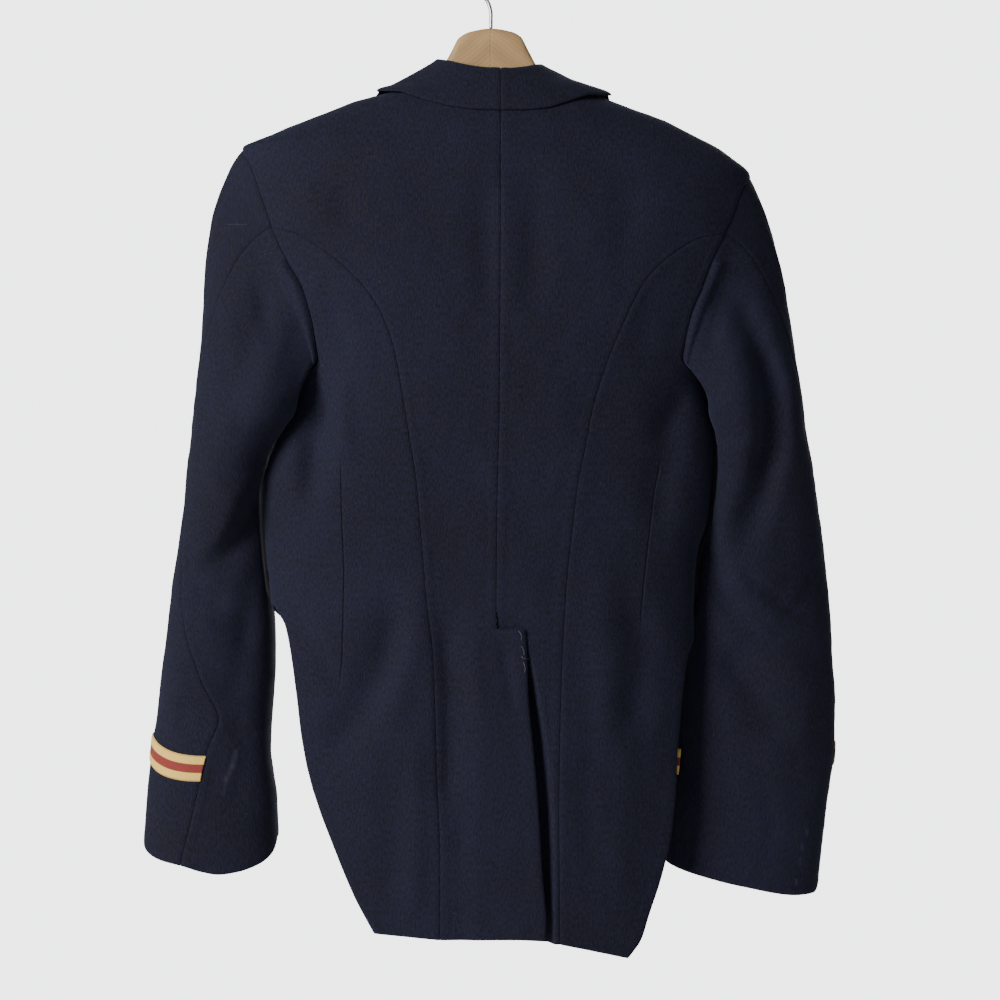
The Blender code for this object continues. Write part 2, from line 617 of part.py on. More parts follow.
def sleeve_grid(side, part):
    """Rows from the armhole to the cuff, columns between the two sleeve seams."""
    ring, ring_normal, q, ring_drop = armhole_ring(side)
    total = len(ring)
    down = len(armhole_stations(side))
    hind = ARMHOLE_ROWS - RIDGE_ROWS
    fore = down + 4
    if part == "under":
        picks = list(range(hind, fore + 1))
    else:
        picks = list(range(fore, total)) + list(range(0, hind + 1))
    start = ring[picks]
    start_normal = ring_normal[picks]
    length = np.concatenate([[0.0], np.cumsum(np.linalg.norm(np.diff(start, axis=0), axis=1))])
    share = length / length[-1]
    if part == "under":
        share = share + UNDERARM_SWING * share * (1 - share)

    def angles(t):
        hind_angle = smooth_curve(SLEEVE_SEAMS[side], t, 1)
        fore_angle = smooth_curve(SLEEVE_SEAMS[side], t, 2)
        if part == "under":
            a, b = hind_angle, fore_angle
        else:
            a, b = fore_angle, hind_angle + 360
        return np.radians(a + (b - a) * share)

    away, along, low = (part_of[picks] for part_of in outward_edge(q, ring_drop, side))
    cap_rows, body_rows = 7, 21
    cap_end = 0.235
    psi_end = angles(cap_end)

    end_drop = 414 - 18 * np.cos(psi_end)
    xe, ye = sleeve_shape(psi_end, end_drop, side)
    end = np.stack([xe, ye, -end_drop], axis=-1)
    ahead_drop = end_drop + 6
    xa, ya = sleeve_shape(angles(cap_end + 0.012), ahead_drop, side)
    ahead = np.stack([xa, ya, -ahead_drop], axis=-1)
    tangent_end = (ahead - end) / np.linalg.norm(ahead - end, axis=-1, keepdims=True)
    gap = np.linalg.norm(end - start, axis=-1, keepdims=True)
    grid = [start + along * 0.35]
    for i in range(1, cap_rows + 1):
        t = i / cap_rows
        t = t ** 0.85
        h00 = 2 * t**3 - 3 * t**2 + 1
        h10 = t**3 - 2 * t**2 + t
        h01 = -2 * t**3 + 3 * t**2
        h11 = t**3 - t**2
        grid.append(h00 * start + h10 * away * gap * 0.9 + h01 * end + h11 * tangent_end * gap * 0.9)
    for i in range(1, body_rows + 1):
        u = i / body_rows
        t = cap_end + (1 - cap_end) * u
        psi = angles(t)
        last = smooth_curve(CUFF_EDGE[side], np.degrees(psi) % 360)
        drop = end_drop + (last - end_drop) * u
        x, y = sleeve_shape(psi, drop, side)
        grid.append(np.stack([x, y, -drop], axis=-1))
    grid = np.array(grid)
    for i in range(1, len(grid)):
        run = np.linalg.norm(grid[i] - start, axis=-1)
        depth = -grid[i][:, 2]
        gap = np.minimum(CLEAR_OF_TRUNK, 0.2 + 0.9 * run) - 60.0 * ease(*BELOW_WAIST, depth)
        gap = np.where(depth > UNDERARM_DROP - 110, gap, -50.0)
        grid[i] = clear_of_trunk(grid[i], side, gap)
    normal = grid_normal(grid)
    probe = grid[-6].mean(axis=0)
    outwards = probe - np.array([(SLEEVE[side][6][1] + SLEEVE[side][6][2]) / 2, 24.0, probe[2]])
    if np.dot(normal[-6].mean(axis=0), outwards) < 0:
        normal = -normal
    blend = np.maximum(np.array([0.0, 0.45])[:, None, None], low[None])
    normal[:2] = start_normal * (1 - blend) + normal[:2] * blend
    normal = normal / np.linalg.norm(normal, axis=-1, keepdims=True)
    return grid, normal


def sleeve_pair(side):
    """Both sleeve pieces, with one shared face direction along each seam."""
    top, top_normal = sleeve_grid(side, "top")
    under, under_normal = sleeve_grid(side, "under")
    for a, b in ((-1, 0), (0, -1)):
        shared = top_normal[:, a] + under_normal[:, b]
        shared = shared / np.linalg.norm(shared, axis=-1, keepdims=True)
        top_normal[:, a] = shared
        under_normal[:, b] = shared
    return {"top": (top, top_normal), "under": (under, under_normal)}


def outward_edge(q, drop, side):
    """Direction that carries on from the trunk panel across the armhole edge."""
    sign = -1.0 if side == "left" else 1.0
    here = trunk_point(q, drop, side)
    normal = trunk_normal(q, drop, side)
    closed = np.roll(here, -1, axis=0) - np.roll(here, 1, axis=0)
    tangent = closed / np.linalg.norm(closed, axis=-1, keepdims=True)
    away = np.cross(tangent, normal)
    centre = np.array([sign * 205.0, 0.0, -290.0])
    flip = np.sum(away * (centre - here), axis=-1) < 0
    away = np.where(flip[:, None], -away, away)
    along = away / np.linalg.norm(away, axis=-1, keepdims=True)
    low = ease(0.1, 0.75, along[:, 2:3])
    away = along.copy()
    away[:, 2] = np.minimum(away[:, 2], 0.25)
    away[:, 0] += sign * (0.45 + CAP_FULLNESS[side] * (1 - ease(190, 260, drop)))
    away = away + normal * 0.7 * low
    hang = ease(325, 372, drop)[:, None] * (1 - ease(378, 396, drop)[:, None])
    away = away * (1 - 0.8 * hang) + (DOWN * 0.9 + normal * 0.5) * 0.8 * hang
    return away / np.linalg.norm(away, axis=-1, keepdims=True), along, low


def grid_normal(grid):
    di = np.empty_like(grid)
    di[1:-1] = grid[2:] - grid[:-2]
    di[0] = grid[1] - grid[0]
    di[-1] = grid[-1] - grid[-2]
    dj = np.empty_like(grid)
    dj[:, 1:-1] = grid[:, 2:] - grid[:, :-2]
    dj[:, 0] = grid[:, 1] - grid[:, 0]
    dj[:, -1] = grid[:, -1] - grid[:, -2]
    n = np.cross(di, dj)
    return n / np.maximum(np.linalg.norm(n, axis=-1, keepdims=True), 1e-9)


def neck_edge(side, u):
    """Foot of the collar: back neck to the shoulder (u 0 to 0.32), then down the front edge to u 1."""
    if u <= 0.32:
        q = u / 0.32
        return q, 137.0 - 22.0 * q
    low = 115.5
    q_top = 2.0 - float(lateral(float(smooth_curve(FRONT_EDGE[side], low)), low, side))
    if u < 0.4:
        t = (u - 0.32) / 0.08
        return 1.0 + (q_top - 1.0) * t, 115.0 + 0.5 * t
    t = (u - 0.4) / 0.6
    drop = low + (588.0 - low) * t
    q = 2.0 - float(lateral(float(smooth_curve(FRONT_EDGE[side], drop)), drop, side))
    return q, drop


def collar_strip(side):
    """Stand, roll and fall from the centre back round the neck and down the front."""
    sign = -1.0 if side == "left" else 1.0
    sections = []
    shares = np.concatenate([np.linspace(0, 0.32, 7), np.linspace(0.345, 0.495, 7), np.linspace(0.55, 1, 9)])
    for u in shares:
        q, drop = neck_edge(side, u)
        base = trunk_point(q, drop, side, folds=False)
        normal = trunk_normal(q, drop, side)
        front = float(ease(0.33, 0.46, u))
        k = min(u, 0.32)
        roll = [float(smooth_curve(COLLAR[side], k, c)) for c in (1, 2, 3)]
        roll_back = np.array([roll[0], roll[2], -roll[1]])
        if u > 0.32:
            t = (u - 0.32) / 0.14
            roll_back = roll_back + np.array([0.0, 24.0, -7.0]) * t
        inwards = np.array([-sign, 0.0, 0.0])
        inwards = inwards - normal * np.dot(inwards, normal)
        inwards = inwards / np.linalg.norm(inwards)
        roll_front = base + inwards * 6.2 + normal * 0.6
        roll = roll_back * (1 - front) + roll_front * front
        edge = collar_edge(side, u)
        out_back = roll_back * np.array([1.0, 1.0, 0.0]) - np.array([9.0, 14.0, 0.0])
        out_back = out_back / np.linalg.norm(out_back)
        out = out_back * (1 - front) + normal * front
        out = out / np.linalg.norm(out)
        foot = base - normal * WALL
        lean = roll - (base - normal * 1.0)
        away = np.array([0.0, 0.0, 1.0]) * (1 - front) + inwards * front
        foot = foot + away * (1.1 + 0.9 * float(ease(0.1, 0.3, u) * (1 - ease(0.36, 0.5, u))))
        up = lean / np.linalg.norm(lean)
        radius = 2.5
        inner = (roll - out * radius - up * 2.6) * (1 - front) + (foot + inwards * 2.6) * front
        outer = (roll + out * radius - up * 2.6) * (1 - front) + (foot + inwards * 2.6 + normal * 5.3) * front
        fall = []
        for w in (0.33, 0.68):
            bulge = 2.5 * math.sin(math.pi * w)
            fall.append(outer + (edge - outer) * w + out * bulge)
        control = np.array([foot, (foot + inner) / 2, inner, roll, outer, *fall, edge])
        keys = np.array([0.0, 0.16, 0.32, 0.42, 0.52, 0.68, 0.84, 1.0])
        samples = np.array([0, 0.16, 0.28, 0.34, 0.385, 0.42, 0.455, 0.50, 0.57, 0.68, 0.84, 1.0])
        line = np.stack([catmull(keys, control[:, c], samples) for c in range(3)], axis=-1)
        turn = float(ease(0.2, 0.34, u) * (1 - ease(0.5, 0.62, u)))
        line[7:] = clear_of_trunk(line[7:], side, LIFT + 1.8 * turn)
        sections.append(line)
    return np.array(sections)


def collar_edge(side, u):
    """Outer edge of the fall and of the lapel, standing clear of the trunk."""
    if u <= 0.32:
        x, drop = (float(smooth_curve(COLLAR[side], u, c)) for c in (4, 5))
        q = float(lateral(x, drop, side))
    elif u <= 0.46:
        q, drop = (float(smooth_curve(COLLAR_TURN[side], u, c)) for c in (1, 2))
    else:
        start = COLLAR_TURN[side][-1][2]
        drop = start + (590 - start) * ((u - 0.46) / 0.54) ** 1.1
        q = 2.0 - float(lateral(float(smooth_curve(LAPEL_EDGE[side], drop)), drop, side))
    edge = trunk_point(q, drop, side, folds=False)
    return edge + trunk_normal(q, drop, side) * LIFT


def catmull(keys, values, at):
    grad = np.gradient(values, keys)
    i = np.clip(np.searchsorted(keys, at, side="right") - 1, 0, len(keys) - 2)
    step = keys[i + 1] - keys[i]
    t = (at - keys[i]) / step
    h00 = 2 * t**3 - 3 * t**2 + 1
    h10 = t**3 - 2 * t**2 + t
    h01 = -2 * t**3 + 3 * t**2
    h11 = t**3 - t**2
    return h00 * values[i] + h10 * step * grad[i] + h01 * values[i + 1] + h11 * step * grad[i + 1]


def braid_band(side):
    """Woven braid laid on the top sleeve between the two sleeve seams."""
    grid, normal = sleeve_grid(side, "top")
    cols = grid.shape[1]
    rows = []
    normals = []
    lift = 0.5 + BRAID_WALL
    for v in np.linspace(-0.5, 0.5, 4):
        line, line_normal = [], []
        for j in range(cols):
            drops = -grid[:, j, 2]
            x_here = np.interp(740.0, drops[9:], grid[9:, j, 0])
            y_here = np.interp(740.0, drops[9:], grid[9:, j, 1])
            centre = braid_level(x_here, y_here, side) + v * BRAID_WIDTH
            p = [np.interp(centre, drops[9:], grid[9:, j, k]) for k in range(3)]
            n = np.array([np.interp(centre, drops[9:], normal[9:, j, k]) for k in range(3)])
            n = n / np.linalg.norm(n)
            line.append(np.array(p) + n * lift)
            line_normal.append(n)
        rows.append(line)
        normals.append(line_normal)
    return np.array(rows), np.array(normals)


def braid_level(x, y, side):
    """Drop of the middle of the braid at a point of the sleeve."""
    outer, back, inner, front = BRAID_DROP[side]
    ring = SLEEVE[side][9]
    middle = (ring[1] + ring[2]) / 2
    half = abs(ring[1] - ring[2]) / 2
    c = np.clip(abs(x - middle) / half, 0, 1)
    s = np.clip((ring[3] - y) / ring[4], -1, 1)
    level = outer if (x < middle) == (side == "left") else inner
    other = back if s > 0 else front
    return level + (other - level) * abs(s) ** 1.5


def lofted_bar(stations):
    """Hanger body: rounded sections across the width, closed at both ends."""
    around = 14
    rings = []
    for x, top, bottom, half in stations:
        ring = []
        for k in range(around):
            a = 2 * math.pi * k / around
            s, c = math.sin(a), math.cos(a)
            n = 3.0
            r = 1.0 / (abs(s) ** n + abs(c) ** n) ** (1 / n)
            ring.append((x, half * r * c, -(top + bottom) / 2 + (bottom - top) / 2 * r * s))
        rings.append(ring)
    verts = [p for ring in rings for p in ring]
    faces = []
    for i in range(len(rings) - 1):
        for k in range(around):
            j = (k + 1) % around
            faces.append([i * around + k, i * around + j, (i + 1) * around + j, (i + 1) * around + k])
    first, last = len(verts), len(verts) + 1
    verts.append(tuple(np.mean(rings[0], axis=0)))
    verts.append(tuple(np.mean(rings[-1], axis=0)))
    end = (len(rings) - 1) * around
    for k in range(around):
        j = (k + 1) % around
        faces.append([first, j, k])
        faces.append([last, end + k, end + j])
    return np.array(verts, float), faces


def bent_wire(points, radius):
    """Round wire along a smooth path in the plane y = 0, closed at both ends."""
    p = np.array(points, float)
    chord = np.concatenate([[0.0], np.cumsum(np.hypot(*np.diff(p, axis=0).T))])
    at = np.linspace(0, chord[-1], 44)
    x = catmull(chord, p[:, 0], at)
    drop = catmull(chord, p[:, 1], at)
    path = np.stack([x, np.zeros_like(x), -drop], axis=-1)
    around = 10
    tangent = np.gradient(path, axis=0)
    tangent /= np.linalg.norm(tangent, axis=1, keepdims=True)
    depth = np.array([0.0, 1.0, 0.0])
    verts, faces = [], []
    for i, (c, t) in enumerate(zip(path, tangent)):
        across = np.cross(t, depth)
        r = radius if i < len(path) - 1 else radius * 0.7
        for k in range(around):
            a = 2 * math.pi * k / around
            verts.append(c + (across * math.cos(a) + depth * math.sin(a)) * r)
    for i in range(len(path) - 1):
        for k in range(around):
            j = (k + 1) % around
            faces.append([i * around + k, i * around + j, (i + 1) * around + j, (i + 1) * around + k])
    first, last = len(verts), len(verts) + 1
    verts.append(path[0])
    verts.append(path[-1] + tangent[-1] * radius * 0.5)
    end = (len(path) - 1) * around
    for k in range(around):
        j = (k + 1) % around
        faces.append([first, j, k])
        faces.append([last, end + k, end + j])
    return np.array(verts), faces


def main():
    for item in list(bpy.data.objects):
        bpy.data.objects.remove(item, do_unlink=True)
    wool = make_material("navy_wool", (0.014, 0.016, 0.027), 0.85)
    woven = make_material("braid_cloth", (0.55, 0.33, 0.12), 0.7)
    wood = make_material("hanger_beech", (0.50, 0.34, 0.19), 0.5)
    steel = make_material("hook_steel", (0.45, 0.45, 0.45), 0.3, 1.0)
    for side in ("left", "right"):
        points, normal = centre_back(side)
        add_object(f"back_{side}", *close_wall(points, normal, WALL), wool)
        points, normal = side_back(side)
        add_object(f"side_back_{side}", *close_wall(points, normal, WALL), wool)
        points, normal = front_panel(side)
        add_object(f"front_{side}", *close_wall(points, normal, WALL), wool)
        strip = collar_strip(side)
        normal = grid_normal(strip)
        if normal[0, -2, 1] > 0:
            normal = -normal
        add_object(f"collar_{side}", *close_wall(strip, normal, WALL, (SEAM / 2, 0, 0, 0)), wool)
        for part, (points, normal) in sleeve_pair(side).items():
            verts, faces = close_wall(points, normal, WALL, (0, 0, 0.3, 0.3))
            add_object(f"{part}_sleeve_{side}", verts, faces, wool)
        points, normal = braid_band(side)
        add_object(f"braid_{side}", *close_wall(points, normal, BRAID_WALL, (0, 0, 1.0, 1.0)), woven)
    add_object("hanger_wood", *lofted_bar(HANGER), wood)
    add_object("hanger_hook", *bent_wire(HOOK, WIRE_RADIUS), steel)


main()
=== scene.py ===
"""Looks of the mess jacket on its wooden hanger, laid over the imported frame.

Millimetres inside, metres in the scene.  X to the right, +Y towards the wall, the back faces -Y,
drop = distance below the inside top of the hook.  The cloth is cut again on the forms of the
solids, with finer rows, sewn seams, turned edges and small creases.
"""
import functools
import math

import bpy
import numpy as np
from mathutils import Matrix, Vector


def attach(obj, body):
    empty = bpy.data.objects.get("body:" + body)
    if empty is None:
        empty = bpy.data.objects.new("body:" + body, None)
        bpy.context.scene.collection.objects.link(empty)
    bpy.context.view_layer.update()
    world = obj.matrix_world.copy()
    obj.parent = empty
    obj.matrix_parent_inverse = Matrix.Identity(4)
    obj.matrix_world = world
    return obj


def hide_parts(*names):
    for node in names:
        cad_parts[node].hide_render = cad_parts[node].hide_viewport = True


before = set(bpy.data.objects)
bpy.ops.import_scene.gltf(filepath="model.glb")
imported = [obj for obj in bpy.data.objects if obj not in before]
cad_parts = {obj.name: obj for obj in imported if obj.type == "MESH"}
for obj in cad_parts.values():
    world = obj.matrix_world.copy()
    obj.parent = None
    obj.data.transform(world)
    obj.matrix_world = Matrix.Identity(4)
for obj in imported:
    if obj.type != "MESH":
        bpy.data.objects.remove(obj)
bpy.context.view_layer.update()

bl_info = {
    "name": "Mess jacket on its hanger",
    "version": (1, 0, 0),
    "blender": (4, 5, 0),
    "location": "3D View > Sidebar > Jacket",
    "description": "Cloth, braid, sewing, hanger and stage for the mess jacket",
    "category": "Object",
}

MM = 0.001
BODY = "root"
SIDES = ("left", "right")
# steps between two rows of a table, columns of a panel, steps of the collar's section
ROW_STEPS = 6
PANEL_COLUMNS = 43
COLLAR_STEPS = 5

# thickness of the solids' cloth and of the collar, and the gap between two sewn pieces
WALL = 2.0
COLLAR_WALL = 2.0
SEAM = 0.3
# how far the collar's fall and the lapel stand off the trunk
LIFT = 3.2
# the cuff braid: thickness, width, and how far its underside stands off the sleeve
BRAID_WALL, BRAID_WIDTH, BRAID_LIFT = 1.0, 23.0, 0.5
WIRE_RADIUS = 1.75

# how far the sleeves are kept off the trunk, and the drops between which that fades out
CLEAR_OF_TRUNK = 4.6
BELOW_WAIST = (590, 660)
# how far the under sleeve's columns are swung round towards the underarm
UNDERARM_SWING = 0.5
# the sleeve's cap: share of the length it takes, its rows and the rows below it, its fullness
CAP_END = 0.235
CAP_ROWS, BODY_ROWS = 7, 21
CAP_FULLNESS = {"left": 0.3, "right": 0.0}
SLEEVE_SQUARENESS = 2.35
DOWN = np.array([0.0, 0.0, -1.0])

# trunk rings: drop, left half width, right half width, back depth, front depth, squareness
TRUNK = [
    (92, 30, 20, 30, 26, 2.1),
    (112, 62, 45, 40, 32, 2.1),
    (130, 115, 92, 49, 38, 2.2),
    (137, 140, 108, 51, 41, 2.3),
    (155, 187, 156, 55, 45, 2.4),
    (167, 214, 180, 57, 47, 2.5),
    (178, 239, 200, 59, 49, 2.5),
    (188, 238, 214, 61, 50, 2.6),
    (204, 236, 231, 62, 51, 2.6),
    (255, 227, 225, 66, 55, 2.8),
    (310, 208, 207, 67, 58, 3.0),
    (355, 194, 195, 66, 60, 2.7),
    (378, 190, 193, 65, 60, 2.5),
    (396, 189, 192, 64, 60, 2.4),
    (420, 194, 195.5, 62, 59, 2.4),
    (446, 204, 201, 60, 59, 2.5),
    (468, 212, 200, 59, 58, 2.6),
    (489, 217, 199, 58, 57, 2.6),
    (524, 216, 195, 56, 55, 2.5),
    (551, 214, 187, 54, 54, 2.5),
    (578, 211, 184, 53, 53, 2.5),
    (614, 208, 184, 53, 52, 2.5),
    (700, 207, 187, 53, 52, 2.4),
    (930, 205, 190, 52, 52, 2.4),
]

# centre back seam: drop, x
CENTRE = [(92, 9), (152, 9), (414, 8), (504, 6), (619, 5), (930, 6)]

# where each row of the back starts at the centre and ends at the outer edge
ROWS = {
    "left": [
        (137, 115), (146, 128), (155, 140), (165, 153), (174, 166), (183, 178),
        (193, 191), (207, 206), (222, 222), (237, 239),
        (252, 255), (258, 259), (266, 265), (277, 276), (293, 293), (315, 316),
        (339, 339), (369, 369), (398, 398), (426, 426), (455, 455), (490, 490),
        (520, 520), (551, 551), (584, 584), (618, 618), (622, 622), (650, 650),
        (690, 690), (734, 734), (778, 778), (820, 820), (860, 860), (890, 890), (902, 903),
    ],
    "right": [
        (137, 115), (149, 131), (163, 149), (177, 167), (191, 186), (204, 204),
        (214, 215), (225, 226), (236, 238), (247, 250),
        (258, 261), (262, 263), (267, 268), (278, 278), (294, 295), (316, 318),
        (339, 342), (369, 372), (398, 400), (426, 428), (455, 456), (490, 490),
        (520, 520), (551, 551), (584, 584), (618, 618), (622, 622), (650, 650),
        (690, 690), (734, 734), (778, 778), (820, 820), (860, 862), (890, 893), (903, 907),
    ],
}
RIDGE_ROWS = 6
ARMHOLE_ROWS = 11

# edge of the armhole and the seam that shapes the back: drop, x
ARMHOLE = {
    "left": [
        (178, -230), (197, -221), (219, -213), (238, -206), (255, -200), (272, -193),
        (291, -183), (307, -173), (324, -167), (345, -162), (372, -158),
    ],
    "right": [
        (204, 239), (224, 229), (247, 221), (261, 214), (286, 202), (312, 192),
        (328, 185), (349, 179), (373, 175),
    ],
}
UNDERARM_DROP = 396
# about the middle of the armhole: distance from the centre plane, y and z
ARMHOLE_MIDDLE = np.array([205.0, 0.0, -290.0])
SHAPING_SEAM = {
    "left": [
        (255, -200), (263, -174), (276, -154), (293, -132), (317, -110), (339, -97),
        (369, -87), (407, -80), (438, -75), (490, -67), (538, -63), (596, -58),
        (650, -52), (747, -49), (830, -46), (930, -46),
    ],
    "right": [
        (261, 214), (265, 193), (277, 171), (295, 149), (312, 136), (351, 117),
        (387, 103), (423, 92), (450, 87), (490, 79), (523, 75), (581, 69),
        (651, 65), (711, 63), (787, 62), (930, 63),
    ],
}

# outer edge of the side back: drops of its rows, the rows at the underarm and at the waist
SIDE_DROPS = {
    "left": [
        256, 268, 281, 296, 315, 341, 373, 392, 396, 416, 446, 478, 512, 542, 572,
        597, 602, 625, 658, 700, 742, 784, 824, 866, 898,
    ],
    "right": [
        262, 273, 285, 299, 317, 342, 374, 392, 396, 416, 446, 478, 512, 542, 574,
        603, 609, 634, 668, 710, 750, 792, 834, 882, 921,
    ],
}
SIDE_UNDERARM_ROW = 8
SIDE_WAIST_ROW = 16
# edge of the tail below the waist: drop, x
TAIL_EDGE = {
    "left": [
        (600, -201), (608, -196), (620, -189), (656, -182), (687, -178), (742, -170),
        (784, -158), (824, -142), (866, -124), (898, -106),
    ],
    "right": [
        (608, 190), (620, 190), (634, 188), (648, 182), (704, 175), (734, 172),
        (782, 169), (809, 166), (834, 160), (856, 154), (885, 144), (905, 137), (921, 125),
    ],
}
# the vent: its top, the left lap's edge and the right underlap's fold: drop, x
VENT_TOP = 620
VENT_LAP = [(620, 26), (622, 31), (685, 34), (736, 39), (786, 43), (838, 46), (889, 50), (930, 48)]
VENT_FOLD = [(620, 30), (647, 36), (698, 45), (736, 51), (787, 55.5), (839, 57), (930, 57)]

# drops between which the rows of the open front edge lie
FRONT_TOP, FRONT_FOOT = 116, 648
# open front edge and the lapel's outer edge: drop, x
FRONT_EDGE = {
    "left": [
        (115, -54), (150, -52), (200, -49), (300, -41), (400, -33), (500, -26), (590, -22), (645, -34),
    ],
    "right": [
        (115, 54), (150, 58), (200, 58), (300, 52), (400, 45), (500, 38), (590, 34), (645, 46),
    ],
}
LAPEL_EDGE = {
    "left": [
        (128, -106), (150, -116), (200, -120), (260, -116), (330, -103), (400, -84),
        (480, -58), (560, -31), (590, -25),
    ],
    "right": [
        (133, 106), (150, 116), (200, 124), (260, 121), (330, 111), (400, 94),
        (480, 70), (560, 43), (590, 37),
    ],
}

# shares of the collar's foot at which it passes the shoulder and meets the open front edge
SHOULDER, NECK_POINT = 0.32, 0.4
# drop of the foot at the centre back, the shoulder, the front edge and the lapel's end
NECK_DROPS = (137.0, 115.0, 115.5, 588.0)
# runs of sections along the collar: first share, last share, number
COLLAR_RUNS = ((0, SHOULDER, 7), (0.345, 0.495, 7), (0.55, 1, 9))
ROLL_REACH, ROLL_RADIUS, FALL_BULGE = 2.6, 2.5, 2.5
# where across the collar its section is shaped, and where its columns lie
COLLAR_KEYS = np.array([0.0, 0.16, 0.32, 0.42, 0.52, 0.68, 0.84, 1.0])
COLLAR_COLUMNS = [0, 0.16, 0.28, 0.34, 0.385, 0.42, 0.455, 0.50, 0.57, 0.68, 0.84, 1.0]
# collar edge over the shoulder: share, ring position, drop
COLLAR_TURN = {
    "left": [
        (0.32, 0.50, 134), (0.355, 0.76, 131), (0.385, 1.0, 129), (0.42, 1.3, 134), (0.46, 1.53, 150),
    ],
    "right": [
        (0.32, 0.58, 137), (0.355, 0.8, 135), (0.385, 1.0, 132.5), (0.42, 1.28, 137), (0.46, 1.5, 152),
    ],
}

# collar from centre back round to the shoulder: share, roll x, roll drop, roll y, edge x, edge drop
COLLAR = {
    "left": [
        (0.00, 9, 110, -41, 9, 151), (0.08, -8, 108.5, -39, -10, 150.5),
        (0.16, -24, 105, -34, -32, 148), (0.24, -38, 100, -25, -57, 142),
        (0.32, -49, 96.5, -13, -82, 134),
    ],
    "right": [
        (0.00, 9, 110, -41, 9, 151), (0.08, 20, 109.5, -39, 28, 151),
        (0.16, 31, 107.5, -34, 50, 149), (0.24, 40, 104, -25, 72, 142),
        (0.32, 46, 101.5, -13, 89, 137),
    ],
}

# sleeve rings: drop, outer x, inner x, middle y, half depth
SLEEVE = {
    "left": [
        (380, -271, -154, -4, 47), (405, -274, -163, -4, 46), (428, -276, -177, -2, 45),
        (453, -279, -198, 3, 43), (470, -282, -205, 7, 42), (505, -286, -206, 12, 40),
        (551, -294, -205, 20, 38),
        (598, -301, -204, 25, 36), (645, -307, -202, 27, 35), (692, -312, -205, 28, 34),
        (739, -319, -207, 28, 33), (786, -324, -202, 28, 34), (850, -328, -199, 28, 36),
    ],
    "right": [
        (380, 284, 174, -4, 47), (399, 287, 183, -4, 46), (420, 290, 194, -2, 45),
        (440, 293, 202, 3, 44), (465, 298, 201, 10, 42), (505, 305, 196, 16, 40),
        (551, 313, 188, 23, 38),
        (598, 318, 184, 27, 36), (645, 321, 180, 28, 35), (692, 323, 171, 28, 34),
        (739, 323, 163, 28, 33), (786, 316, 157, 28, 33), (870, 307, 154, 28, 34),
    ],
}
# sleeve seams: share of length, hind seam angle, fore seam angle (0 outer, 90 back, 180 inner)
SLEEVE_SEAMS = {
    "left": [
        (0.0, 62, 262), (0.12, 45, 258), (0.2, 24, 255), (0.3, 8, 252), (0.4, 26, 250),
        (0.54, 40, 248), (0.62, 53, 247), (0.7, 76, 246), (0.762, 98, 246),
        (0.8, 91, 246), (0.9, 79, 245), (1.0, 68, 245),
    ],
    "right": [
        (0.0, 62, 262), (0.12, 44, 255), (0.2, 28, 245), (0.3, 14, 235), (0.4, 8, 222),
        (0.54, 4, 196), (0.65, 2, 168), (0.78, 0, 143), (0.9, 0, 140), (1.0, 0, 140),
    ],
}
# cuff edge round the sleeve: angle, drop
CUFF_EDGE = {
    "left": [
        (0, 825), (22, 831), (50, 839), (69, 843), (86, 848.5), (100, 851), (115, 849), (132, 844),
        (156, 834), (180, 821), (270, 829), (360, 825),
    ],
    "right": [
        (0, 862), (25, 871), (45, 871.5), (90, 862), (120, 852), (145, 843), (165, 835), (180, 830),
        (270, 842), (360, 862),
    ],
}
# drop of the braid's middle at the outer side, back, inner side and front of the sleeve
BRAID_DROP = {"left": (734.5, 754, 741, 738), "right": (742, 750, 746, 741)}
# the sleeve's row just above the braid, and the drop at which the columns are met with it
BRAID_RING, BRAID_LEVEL = 9, 740.0
# two lines of stitches along the braid, as shares of its width from its middle
BRAID_SEWING = (-0.455, 0.455)

# elbow folds: the upper sleeve stands over the forearm along these lines, x and drop
ELBOW_FOLD = {
    "left": [
        (-157, 378), (-170, 415), (-183, 433), (-206, 461), (-216, 486), (-241, 530), (-275, 573),
    ],
    "right": [
        (176, 378), (190, 410), (212, 458), (212, 480), (210, 506), (212, 541), (222, 579),
        (240, 602), (262, 624), (285, 634),
    ],
}
# how far the fold stands out and how slowly that fades above it, the width of the hollow under
# it, and the height, distance and width of the swell below the hollow
ELBOW_STAND = {"left": 15.0, "right": 14.0}
ELBOW_REACH, ELBOW_HOLLOW = 62.0, 13
SWELL_HEIGHT, SWELL_AT, SWELL_WIDTH = 5.0, 16, 12.0

# soft folds of the solids, on the trunk: points (x, drop), half width, depth (positive sinks in)
TRUNK_FOLDS = [
    ([(-158, 385), (-162, 412), (-165, 445), (-160, 490)], 18, 8),
    ([(-148, 385), (-142, 430), (-138, 480)], 12, -3),
    ([(176, 388), (163, 440), (154, 500), (150, 540)], 15, 7),
    ([(-80, 585), (-97, 655), (-120, 700), (-155, 745)], 17, 7),
    ([(-66, 560), (-74, 640), (-100, 720)], 14, -3),
    ([(-42, 600), (-38, 680), (-38, 790)], 11, 5),
    ([(128, 590), (138, 645), (130, 720)], 16, 6),
    ([(98, 560), (108, 650), (100, 740)], 16, -3),
    ([(-6, 205), (-4, 280), (-2, 340)], 13, 2.5),
    ([(38, 200), (40, 290), (36, 350)], 14, 2.5),
    ([(120, 215), (124, 290)], 14, 2),
    ([(-136, 215), (-128, 262)], 13, 2),
]
